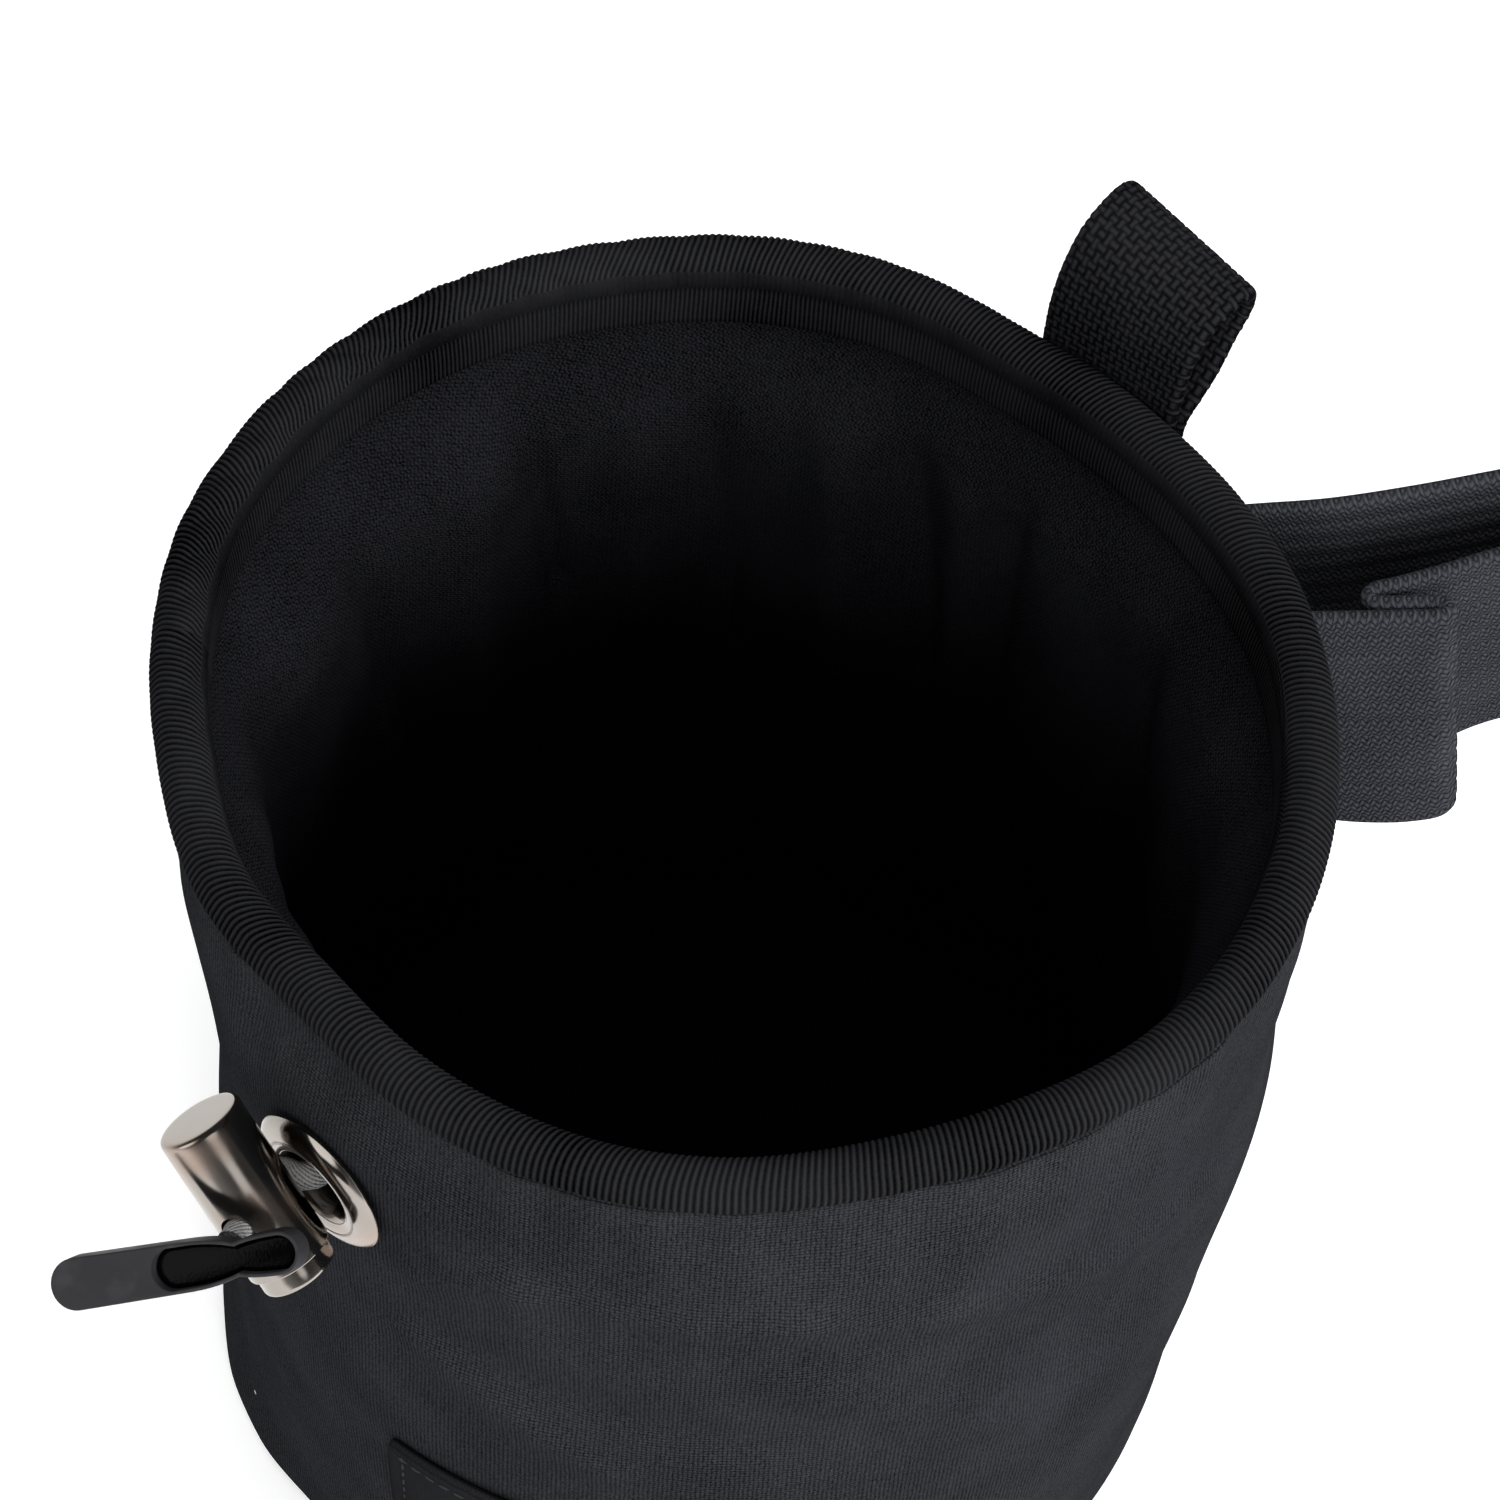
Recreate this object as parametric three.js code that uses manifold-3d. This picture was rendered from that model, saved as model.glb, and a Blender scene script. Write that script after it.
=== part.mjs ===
// Climbing chalk bag: a round cloth bag that stands on its floor, with a stiff ribbed mouth, a gathered
// lining, a webbing hang loop, a folded elastic band, and a drawcord through an eyelet and a cord lock.
// Millimetres, +Z up, origin at the middle of the floor panel, -Y towards the front with the label.

import * as THREE from "three";
import { mergeVertices } from "three/addons/utils/BufferGeometryUtils.js";
import Module from "manifold-3d";

const wasm = await Module();
wasm.setup();

// The mouth and the wall
const mouth_radius = 59;
const bag_height = 135;
const bead_diameter = 5.2;
const shell_wall = 1.2;
const shell_stand_out = 1.9;
const floor_edge_radius = 4;
const floor_lip_width = 2;
const clearance = 0.3;

// The floor panel and the lining
const panel_thickness = 2;
const lining_wall = 1;
const lining_inset = 4.6;
const lining_radius = mouth_radius - lining_inset;
const lining_corner_radius = 12;
const lining_gather_depth = 24;

// The binding's skirt on the lining
const skirt_height = 4.6;
const skirt_thickness = 0.8;

// The eyelet, at the front left
const eyelet_azimuth = -129;
const eyelet_drop = 25.5;
const eyelet_height = bag_height - eyelet_drop;
const eyelet_diameter = 17.5;
const eyelet_hole_diameter = 8.4;
const eyelet_proud = 2.2;
const eyelet_tube_wall = 0.6;
const eyelet_back_flange = 1.2;

// The cord lock, held off the wall by the cord
const lock_diameter = 9.4;
const lock_length = 18;
const lock_edge = 0.7;
const lock_stand_off = 8;
const lock_bore_diameter = 8.5;
const lock_bore_depth = 15;
const lock_fall = 2.6;
const lock_hole_offset = 2.4;
const lock_hole_turn = 30;
const plunger_running_gap = 0.1;
const plunger_proud = 2.3;
const plunger_inside = 11;
const plunger_travel = 2;

// The cord and its pull
const cord_diameter = 3;
const cord_gap = 0.4;
const pull_length = 27.2;
const pull_thickness = 3.2;
const pull_width = 5.4;
const pull_reach = 9.2;
const pull_neck_to_ring = 7;
const pull_ring_wall = 0.5;
const pull_floor = 0.8;

// The webbing loop, at the back right
const loop_azimuth = 50.7;
const loop_width = 18;
const loop_thickness = 1.4;
const loop_leg = 9;
const loop_stand = 18;
const loop_turn = 5;

// The elastic band, on the right
const band_width = 38;
const band_thickness = 1.3;
const band_reach = 36;
const band_tilt = 10;
const band_start_out = 2.5;
const band_start_across = 24;
const band_start_drop = 10.6;
const band_start = new THREE.Vector3(
  mouth_radius + band_start_out, band_start_across, bag_height - band_start_drop,
);

// The label patch, low on the front
const label_width = 56;
const label_height = 23;
const label_thickness = 1.2;
const label_top = 58;
const label_left_azimuth = -121.4;

// How finely the round pieces are cut
const wall_segments = 60;
const ring_segments = 20;

// Plan of the mouth: shares of mouth_radius, every 15 degrees from +X and counter-clockwise.
const RIM_PLAN = [
  1.022, 1.008, 0.982, 0.958, 0.95, 0.98, 0.998, 1.003, 1.013, 1.02, 1.022, 1.022,
  1.004, 0.988, 0.99, 0.968, 0.985, 0.999, 1.0, 0.987, 0.992, 1.017, 1.03, 1.03,
];

// Sections of the wall: the height is a share of bag_height, the rest are shares of mouth_radius.
const SHELL_SECTIONS = [
  // height, right, back right, back, back left, left, front left, front, front right
  { height: 0.0, plan: [1.025, 1.017, 1.017, 1.012, 1.027, 0.965, 1.005, 0.985] },
  { height: 0.08, plan: [1.039, 1.025, 1.022, 1.012, 1.01, 0.975, 1.015, 1.0] },
  { height: 0.21, plan: [1.059, 1.04, 1.03, 1.01, 0.99, 0.99, 1.03, 1.025] },
  { height: 0.36, plan: [1.085, 1.05, 1.035, 1.005, 0.97, 1.01, 1.04, 1.05] },
  { height: 0.54, plan: [1.088, 1.05, 1.035, 1.01, 0.978, 1.022, 1.04, 1.05] },
  { height: 0.7, plan: [1.076, 1.045, 1.03, 1.02, 1.013, 1.035, 1.04, 1.05] },
  { height: 0.86, plan: [1.071, 1.035, 1.03, 1.03, 1.014, 1.04, 1.04, 1.048] },
];
const rim_blend_start = 0.86;
const rim_blend_end = 0.975;

// Folds of the wall: each runs from one azimuth and height share to another; rise and spread are
// shares of mouth_radius, and a negative rise is a dent.
const WALL_FOLDS = [
  { name: "channel seam, left", from: [-117, 0.76], to: [-107, 0.81], rise: 0.012, spread: 0.05 },
  { name: "channel seam, front", from: [-107, 0.81], to: [-79, 0.82], rise: 0.012, spread: 0.05 },
  { name: "channel seam, right", from: [-79, 0.82], to: [-27, 0.67], rise: 0.012, spread: 0.05 },
  { name: "fold below the seam", from: [-79, 0.71], to: [-53, 0.52], rise: 0.01, spread: 0.06 },
  { name: "fold from the eyelet", from: [-119, 0.64], to: [-98, 0.53], rise: 0.014, spread: 0.05 },
  { name: "dent beside the fold", from: [-112, 0.66], to: [-84, 0.6], rise: -0.012, spread: 0.08 },
  { name: "left hollow", from: [200, 0.72], to: [204, 0.6], rise: -0.035, spread: 0.22 },
  { name: "right hollow", from: [-12, 0.38], to: [-18, 0.2], rise: -0.024, spread: 0.18 },
  { name: "left corner of the floor", from: [201, 0.02], to: [208, 0.02], rise: 0.022, spread: 0.15 },
];

// Folds of the lining, as above; a negative rise is a lobe that leans into the bag.
const LINING_FOLDS = [
  { name: "left lobe", from: [163, 0.88], to: [160, 0.4], rise: -0.03, spread: 0.14 },
  { name: "left valley", from: [150.6, 0.91], to: [137.6, 0.42], rise: 0.022, spread: 0.05 },
  { name: "back left lobe", from: [131, 0.86], to: [128.5, 0.48], rise: -0.036, spread: 0.09 },
  { name: "sharp valley", from: [121, 0.9], to: [116.3, 0.66], rise: 0.025, spread: 0.035 },
  { name: "wedge lobe", from: [107, 0.86], to: [104.7, 0.59], rise: -0.034, spread: 0.07 },
  { name: "back valley", from: [96.9, 0.86], to: [92, 0.55], rise: 0.022, spread: 0.045 },
  { name: "back lobe", from: [80.2, 0.86], to: [77.6, 0.55], rise: -0.034, spread: 0.08 },
  { name: "back right valley", from: [69, 0.86], to: [64, 0.58], rise: 0.02, spread: 0.04 },
  { name: "narrow lobe", from: [62, 0.84], to: [61, 0.57], rise: -0.022, spread: 0.05 },
  { name: "crease", from: [53.3, 0.87], to: [55, 0.5], rise: 0.02, spread: 0.04 },
  { name: "broad lobe", from: [45, 0.86], to: [40, 0.45], rise: -0.036, spread: 0.12 },
  { name: "right valley", from: [28, 0.88], to: [24, 0.45], rise: 0.022, spread: 0.05 },
  { name: "right lobe", from: [10, 0.86], to: [6, 0.4], rise: -0.03, spread: 0.14 },
  { name: "front right lobe", from: [-38, 0.84], to: [-34, 0.3], rise: -0.03, spread: 0.13 },
  { name: "front valley", from: [-62, 0.88], to: [-66, 0.4], rise: 0.018, spread: 0.06 },
  { name: "front lobe", from: [-88, 0.84], to: [-84, 0.3], rise: -0.03, spread: 0.13 },
  { name: "front left lobe", from: [-150, 0.84], to: [-146, 0.3], rise: -0.026, spread: 0.13 },
];

// Heights of the rings of the wall and of the lining, as shares of bag_height.
const SHELL_RINGS = [0.12, 0.24, 0.36, 0.47, 0.57, 0.66, 0.74, 0.82, 0.9];
const LINING_RINGS = [0.22, 0.38, 0.52, 0.64, 0.75, 0.84, 0.9];

// The webbing loop's line, from the inner leg over the top to the outer leg. Out and up are shares of
// loop_stand, out from the bead's outside and up from its centre; the sides are the strip's two edges.
const LOOP_LINE = [
  { left_out: 0.06, left_up: -0.12, right_out: 0.06, right_up: -0.12 },
  { left_out: 0.06, left_up: 0.1, right_out: 0.07, right_up: 0.1 },
  { left_out: 0.07, left_up: 0.38, right_out: 0.08, right_up: 0.33 },
  { left_out: 0.14, left_up: 0.66, right_out: 0.13, right_up: 0.52 },
  { left_out: 0.28, left_up: 0.89, right_out: 0.24, right_up: 0.66 },
  { left_out: 0.46, left_up: 0.99, right_out: 0.42, right_up: 0.73 },
  { left_out: 0.62, left_up: 1.01, right_out: 0.58, right_up: 0.74 },
  { left_out: 0.73, left_up: 0.94, right_out: 0.68, right_up: 0.68 },
  { left_out: 0.72, left_up: 0.79, right_out: 0.68, right_up: 0.56 },
  { left_out: 0.63, left_up: 0.56, right_out: 0.6, right_up: 0.43 },
  { left_out: 0.45, left_up: 0.32, right_out: 0.44, right_up: 0.25 },
  { left_out: 0.27, left_up: 0.12, right_out: 0.27, right_up: 0.08 },
  { left_out: 0.165, left_up: -0.1, right_out: 0.165, right_up: -0.1 },
];

// The elastic band's line from the wall, out and back once, then round the long loop. Out, across
// and lean are shares of band_reach; lean is how much further across the lower edge lies.
const BAND_LINE = [
  { out: -0.13, across: 0.0, lean: 0.0 },
  { out: 0.0, across: 0.0, lean: -0.03 },
  { out: 0.14, across: 0.0, lean: -0.05 },
  { out: 0.3, across: 0.0, lean: -0.05 },
  { out: 0.4, across: 0.004, lean: -0.03 },
  { out: 0.428, across: 0.026, lean: -0.01 },
  { out: 0.4, across: 0.05, lean: 0.0 },
  { out: 0.32, across: 0.054, lean: 0.0 },
  { out: 0.24, across: 0.054, lean: 0.0 },
  { out: 0.2, across: 0.06, lean: 0.0 },
  { out: 0.182, across: 0.084, lean: 0.0 },
  { out: 0.205, across: 0.108, lean: 0.0 },
  { out: 0.26, across: 0.122, lean: 0.03 },
  { out: 0.4, across: 0.165, lean: 0.1 },
  { out: 0.58, across: 0.228, lean: 0.12 },
  { out: 0.78, across: 0.29, lean: 0.09 },
  { out: 0.95, across: 0.335, lean: 0.05 },
  { out: 1.08, across: 0.39, lean: 0.02 },
  { out: 1.13, across: 0.475, lean: 0.0 },
  { out: 1.08, across: 0.56, lean: 0.0 },
  { out: 0.95, across: 0.585, lean: 0.0 },
  { out: 0.78, across: 0.572, lean: 0.0 },
  { out: 0.58, across: 0.53, lean: 0.0 },
  { out: 0.33, across: 0.478, lean: 0.0 },
  { out: 0.07, across: 0.436, lean: 0.0 },
  { out: -0.19, across: 0.417, lean: 0.0 },
  { out: -0.42, across: 0.395, lean: 0.0 },
];

// The cord's route in its channel: azimuth in degrees, how far inside mouth_radius, and how far below
// the eyelet's centre, in millimetres.
const CORD_RING = [
  { azimuth: -119, inside: 1.0, below: 2.5 },
  { azimuth: -112, inside: 0.9, below: 2.0 },
  { azimuth: -90, inside: 0.8, below: 2.0 },
  { azimuth: -60, inside: 0.7, below: 2.0 },
  { azimuth: -30, inside: 0.2, below: 2.0 },
  { azimuth: 0, inside: -0.2, below: 2.0 },
  { azimuth: 30, inside: 0.5, below: 2.0 },
  { azimuth: 60, inside: 1.2, below: 2.0 },
  { azimuth: 90, inside: 0.9, below: 2.0 },
  { azimuth: 120, inside: 1.2, below: 2.0 },
  { azimuth: 150, inside: 1.6, below: 2.0 },
  { azimuth: 180, inside: 2.2, below: 2.0 },
  { azimuth: 200, inside: 2.6, below: 2.0 },
  { azimuth: 213, inside: 1.8, below: 1.5 },
];
// The rest of its route, from the eyelet's centre: along the wall, outwards and up, in millimetres.
const CORD_EXIT = [
  { along: -11.4, out: -4.3, up: -0.9 },
  { along: -7.0, out: -4.5, up: -1.2 },
  { along: -3.5, out: -4.8, up: -1.2 },
  { along: -1.4, out: -2.7, up: -1.2 },
  { along: -1.4, out: 0.0, up: -1.2 },
  { along: -2.5, out: 1.6, up: -0.9 },
];

const bead_radius = bead_diameter / 2;
const degrees = (radians) => (radians * 180) / Math.PI;
const radians = (value) => (value * Math.PI) / 180;

// A value between four neighbours, smooth through the middle two.
function smooth_between(before, start, end, after, share) {
  const slope_in = (end - before) / 2;
  const slope_out = (after - start) / 2;
  const square = share * share;
  const cube = square * share;
  return (2 * cube - 3 * square + 1) * start + (cube - 2 * square + share) * slope_in
    + (3 * square - 2 * cube) * end + (cube - square) * slope_out;
}

// The value of a closed plan, whose entries lie at equal angles, at an azimuth in radians.
function around(plan, azimuth) {
  const turns = azimuth / (2 * Math.PI);
  const place = (turns - Math.floor(turns)) * plan.length;
  const index = Math.floor(place);
  const entry = (step) => plan[(index + step + plan.length) % plan.length];
  return smooth_between(entry(-1), entry(0), entry(1), entry(2), place - index);
}

function smooth_step(value, low, high) {
  const share = Math.min(Math.max((value - low) / (high - low), 0), 1);
  return share * share * (3 - 2 * share);
}

// The sum of a table's folds at an azimuth in radians and a height.
function fold_rise(table, azimuth, height) {
  let total = 0;
  for (const { from, to, rise, spread } of table) {
    const turn = (angle) => Math.atan2(Math.sin(angle), Math.cos(angle)) * mouth_radius;
    const start = [turn(radians(from[0]) - azimuth), from[1] * bag_height - height];
    const end = [turn(radians(to[0]) - azimuth), to[1] * bag_height - height];
    const line = [end[0] - start[0], end[1] - start[1]];
    const length_squared = line[0] ** 2 + line[1] ** 2;
    const share = Math.min(Math.max(-(start[0] * line[0] + start[1] * line[1]) / length_squared, 0), 1);
    const distance = Math.hypot(start[0] + line[0] * share, start[1] + line[1] * share);
    total += rise * mouth_radius * Math.exp(-((distance / (spread * mouth_radius)) ** 2));
  }
  return total;
}

const rim_radius = (azimuth) => mouth_radius * around(RIM_PLAN, azimuth);

// The outside of the wall before its edge turns in at the floor.
function shell_radius(azimuth, height) {
  const share = Math.min(Math.max(height / bag_height, 0), 1);
  const last = SHELL_SECTIONS.length - 1;
  let index = 0;
  while (index < last - 1 && SHELL_SECTIONS[index + 1].height < share) {
    index += 1;
  }
  const row = (step) => SHELL_SECTIONS[Math.min(Math.max(index + step, 0), last)];
  const value = (step) => around(row(step).plan, azimuth);
  const between = Math.min((share - row(0).height) / (row(1).height - row(0).height), 1);
  const wall = mouth_radius * smooth_between(value(-1), value(0), value(1), value(2), between);
  const top = rim_radius(azimuth) + shell_stand_out;
  const blend = smooth_step(share, rim_blend_start, rim_blend_end);
  return wall * (1 - blend) + top * blend + fold_rise(WALL_FOLDS, azimuth, height) * (1 - blend);
}

// The lining's outside: close under the bead at the top, gathered in to the sleeve below.
const lining_top = bag_height - bead_radius - clearance;
const lining_top_inset = 0.5;
const lining_floor = panel_thickness + clearance;

function lining_outside(azimuth, height) {
  const gather = smooth_step(height, lining_top - lining_gather_depth, lining_top);
  const sleeve = lining_radius * (1 + 0.35 * (around(RIM_PLAN, azimuth) - 1))
    + fold_rise(LINING_FOLDS, azimuth, height);
  return sleeve * (1 - gather) + (rim_radius(azimuth) - lining_top_inset) * gather;
}

// Equal points merged and flat triangles dropped, so that the mesh is one closed body.
function welded(geometry) {
  geometry.deleteAttribute("normal");
  geometry.deleteAttribute("uv");
  const merged = mergeVertices(geometry, 1e-4);
  const corners = merged.getIndex().array;
  const kept = [];
  for (let index = 0; index < corners.length; index += 3) {
    const [first, second, third] = corners.slice(index, index + 3);
    if (first !== second && second !== third && third !== first) {
      kept.push(first, second, third);
    }
  }
  merged.setIndex(kept);
  return merged;
}

// A profile of numbered points turned round +Z; place gives each one's radius and height by azimuth.
function turned(count, segments, place) {
  const profile = [];
  for (let index = 0; index < count; index += 1) {
    profile.push(new THREE.Vector2(1 + index, index));
  }
  const geometry = new THREE.LatheGeometry(profile, segments);
  geometry.rotateX(Math.PI / 2);
  const position = geometry.getAttribute("position");
  const step = (2 * Math.PI) / segments;
  for (let index = 0; index < position.count; index += 1) {
    const steps = Math.atan2(position.getX(index), -position.getY(index)) / step;
    const azimuth = Math.round(steps) * step - Math.PI / 2;
    const [radius, height] = place(Math.round(position.getZ(index)), azimuth);
    position.setXYZ(index, radius * Math.cos(azimuth), radius * Math.sin(azimuth), height);
  }
  return welded(geometry);
}

// A box whose points are moved by place, from shares along, through and across it.
function bent(steps_along, steps_across, place) {
  const geometry = new THREE.BoxGeometry(1, 1, 1, steps_along, 1, steps_across);
  const position = geometry.getAttribute("position");
  for (let index = 0; index < position.count; index += 1) {
    const point = place(position.getX(index) + 0.5, position.getY(index), position.getZ(index) + 0.5);
    position.setXYZ(index, point.x, point.y, point.z);
  }
  return welded(geometry);
}

function solid_of(geometry) {
  const welded_geometry = welded(geometry.clone());
  return new wasm.Manifold(new wasm.Mesh({
    numProp: 3,
    vertProperties: new Float32Array(welded_geometry.getAttribute("position").array),
    triVerts: new Uint32Array(welded_geometry.getIndex().array),
  }));
}

function geometry_of(solid) {
  const mesh = solid.getMesh();
  const geometry = new THREE.BufferGeometry();
  geometry.setAttribute("position", new THREE.BufferAttribute(new Float32Array(mesh.vertProperties), 3));
  geometry.setIndex(Array.from(mesh.triVerts));
  return geometry;
}

// A geometry made along +Z, turned to run along a direction from a point.
function laid(geometry, point, direction) {
  const turn = new THREE.Quaternion().setFromUnitVectors(new THREE.Vector3(0, 0, 1), direction);
  return geometry.applyQuaternion(turn).translate(point.x, point.y, point.z);
}

// A closed profile of [radius, place along +Z] rows, turned round +Z.
function lathe(rows, segments) {
  const geometry = new THREE.LatheGeometry(rows.map(([x, y]) => new THREE.Vector2(x, y)), segments);
  return geometry.rotateX(Math.PI / 2);
}

function rod(radius, length, segments) {
  return lathe([[0, -length / 2], [radius, -length / 2], [radius, length / 2], [0, length / 2]], segments);
}

function named_mesh(name, geometry, colour, roughness, metalness) {
  const material = new THREE.MeshStandardMaterial({ color: colour, roughness, metalness });
  material.name = name;
  const mesh = new THREE.Mesh(geometry, material);
  mesh.name = name;
  return mesh;
}

// Directions at the eyelet: outwards, along the wall, and up
const eyelet_angle = radians(eyelet_azimuth);
const out = new THREE.Vector3(Math.cos(eyelet_angle), Math.sin(eyelet_angle), 0);
const along = new THREE.Vector3(-Math.sin(eyelet_angle), Math.cos(eyelet_angle), 0);
const up = new THREE.Vector3(0, 0, 1);
const eyelet_seat = shell_radius(eyelet_angle, eyelet_height);
const eyelet_centre = out.clone().multiplyScalar(eyelet_seat).addScaledVector(up, eyelet_height);
const eyelet_tube_radius = eyelet_hole_diameter / 2 + eyelet_tube_wall;

// The lock's barrel hangs along the wall, down and to the front, and its plunger points down.
const lock_axis = along.clone().sub(up).normalize();
const lock_lift = along.clone().add(up).normalize();
const lock_centre = eyelet_centre.clone().addScaledVector(out, lock_stand_off)
  .addScaledVector(lock_axis, -lock_hole_offset - lock_fall);
const lock_hole_direction = out.clone().multiplyScalar(Math.cos(radians(lock_hole_turn)))
  .addScaledVector(lock_lift, Math.sin(radians(lock_hole_turn)));
const lock_hole_centre = lock_centre.clone().addScaledVector(lock_axis, lock_hole_offset);
const lock_hole_diameter = cord_diameter + 2 * cord_gap;

// The flat pull lies across the barrel's front, its tongue pointing away to the left.
const pull_direction = new THREE.Vector3(-0.94, -0.06, -0.36).normalize();
const pull_face = new THREE.Vector3(0, -0.572, 0.82).cross(pull_direction).cross(pull_direction)
  .multiplyScalar(-1).normalize();
const pull_neck = lock_hole_centre.clone().addScaledVector(lock_hole_direction, pull_reach);

function make_outer_shell() {
  const lip = floor_edge_radius + floor_lip_width - clearance;
  const top = bag_height - bead_radius - clearance;
  const edge_steps = 2;
  const side = (inset) => {
    const rows = [{ inset, height: inset, lip }];
    for (let step = 0; step <= edge_steps; step += 1) {
      rows.push({ inset, turn: (step / edge_steps) * (Math.PI / 2) });
    }
    for (const share of SHELL_RINGS) {
      rows.push({ inset, height: share * bag_height });
    }
    rows.push({ inset, height: top });
    return rows;
  };
  const rows = [...side(0), ...side(shell_wall).reverse()];
  rows.push(rows[0]);
  const shell = turned(rows.length, wall_segments, (index, azimuth) => {
    const { inset, height, lip: lip_width, turn } = rows[index];
    if (lip_width !== undefined) {
      return [shell_radius(azimuth, 0) - lip_width, inset];
    }
    if (turn !== undefined) {
      const bend = floor_edge_radius - inset;
      const level = floor_edge_radius - bend * Math.cos(turn);
      return [shell_radius(azimuth, level) - floor_edge_radius + bend * Math.sin(turn), level];
    }
    return [shell_radius(azimuth, height) - inset, height];
  });
  const hole = laid(rod(eyelet_tube_radius + clearance, 10, ring_segments), eyelet_centre, out);
  return geometry_of(solid_of(shell).subtract(solid_of(hole)));
}

function make_base_panel() {
  const rows = [[0, 0], [1, 0], [1, panel_thickness], [0, panel_thickness]];
  return turned(rows.length, wall_segments, (index, azimuth) => {
    const radius = shell_radius(azimuth, 0) - floor_edge_radius - floor_lip_width;
    return [rows[index][0] * radius, rows[index][1]];
  });
}

function make_lining() {
  const corner_steps = 2;
  const side = (inset) => {
    const bend = lining_corner_radius - inset;
    const level = lining_floor + lining_corner_radius;
    const rows = [{ centre: true, height: lining_floor + inset }];
    for (let step = 0; step <= corner_steps; step += 1) {
      const turn = (step / corner_steps) * (Math.PI / 2);
      const inward = lining_corner_radius - bend * Math.sin(turn);
      rows.push({ inset: inward, height: level - bend * Math.cos(turn) });
    }
    for (const share of LINING_RINGS) {
      rows.push({ inset, height: share * bag_height });
    }
    rows.push({ inset, height: lining_top - skirt_height });
    rows.push({ inset, height: lining_top });
    return rows;
  };
  const rows = [...side(0), ...side(lining_wall).reverse()];
  return turned(rows.length, wall_segments, (index, azimuth) => {
    const { centre, inset, height } = rows[index];
    return [centre ? 0 : lining_outside(azimuth, height) - inset, height];
  });
}

function make_rim_binding() {
  const bead_steps = 8;
  const skirt_top = lining_top + 0.4;
  const skirt_bottom = lining_top - skirt_height;
  const rows = [];
  for (let step = 0; step <= bead_steps; step += 1) {
    rows.push({ turn: radians(-118 + (step / bead_steps) * 278) });
  }
  rows.push({ depth: skirt_thickness, height: (skirt_top + skirt_bottom) / 2 });
  rows.push({ depth: skirt_thickness, height: skirt_bottom });
  rows.push({ depth: 0, height: skirt_bottom });
  rows.push({ depth: 0, height: skirt_top });
  rows.push(rows[0]);
  return turned(rows.length, wall_segments, (index, azimuth) => {
    const { turn, depth, height } = rows[index];
    if (turn !== undefined) {
      return [
        rim_radius(azimuth) + bead_radius * Math.cos(turn),
        bag_height + bead_radius * Math.sin(turn),
      ];
    }
    const face = lining_outside(azimuth, Math.min(height, lining_top)) - lining_wall - clearance;
    return [face - depth, height];
  });
}

function make_hang_loop() {
  const edge = (side) => new THREE.CatmullRomCurve3(LOOP_LINE.map((row) => new THREE.Vector3(
    row[`${side}_out`] * loop_stand, row[`${side}_up`] * loop_stand, 0,
  )), false, "centripetal");
  const left = edge("left");
  const right = edge("right");
  const leg_share = 0.12;
  const steps = 26;
  const angle = radians(loop_azimuth);
  const middle_out = new THREE.Vector3(Math.cos(angle), Math.sin(angle), 0);
  const middle_along = new THREE.Vector3(-Math.sin(angle), Math.cos(angle), 0);
  return bent(steps, 4, (share, through, across) => {
    const inner = Math.min(Math.max((share - leg_share) / (1 - 2 * leg_share), 0), 1);
    const tangent = left.getTangent(inner).lerp(right.getTangent(inner), 1 - across);
    const point = right.getPoint(inner).lerp(left.getPoint(inner), across);
    const normal = new THREE.Vector2(tangent.y, -tangent.x).normalize();
    const leg = Math.max(leg_share - share, share - (1 - leg_share), 0) / leg_share;
    const outward = point.x + normal.x * through * loop_thickness;
    const upward = point.y + normal.y * through * loop_thickness - leg * loop_leg;
    const sideways = (across - 0.5) * loop_width;
    const azimuth = angle + sideways / mouth_radius;
    const wall = shell_radius(azimuth, Math.min(bag_height + upward, lining_top));
    const rim_outside = Math.max(rim_radius(azimuth) + bead_radius, wall);
    const rim_middle = rim_radius(angle) + bead_radius;
    const lift = smooth_step(upward, 0, loop_stand * 0.4);
    const curved = new THREE.Vector3(Math.cos(azimuth), Math.sin(azimuth), 0)
      .multiplyScalar(rim_outside + outward + clearance);
    const turn = -Math.tan(radians(loop_turn)) * sideways;
    const straight = middle_out.clone().multiplyScalar(rim_middle + outward + clearance + turn)
      .addScaledVector(middle_along, sideways);
    return curved.lerp(straight, lift).setZ(bag_height + upward);
  });
}

// A point pushed out, where it needs it, to lie clear of the wall and the bead.
function off_the_wall(point) {
  const azimuth = Math.atan2(point.y, point.x);
  const wall = Math.max(shell_radius(azimuth, point.z), 0) + clearance;
  const rise = Math.abs(point.z - bag_height);
  const bead = rise < bead_radius + clearance ? rim_radius(azimuth) + bead_radius + clearance : 0;
  const least = Math.max(wall, bead);
  const radius = Math.hypot(point.x, point.y);
  const push = Math.max(least / radius, 1);
  return new THREE.Vector3(point.x * push, point.y * push, point.z);
}

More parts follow.
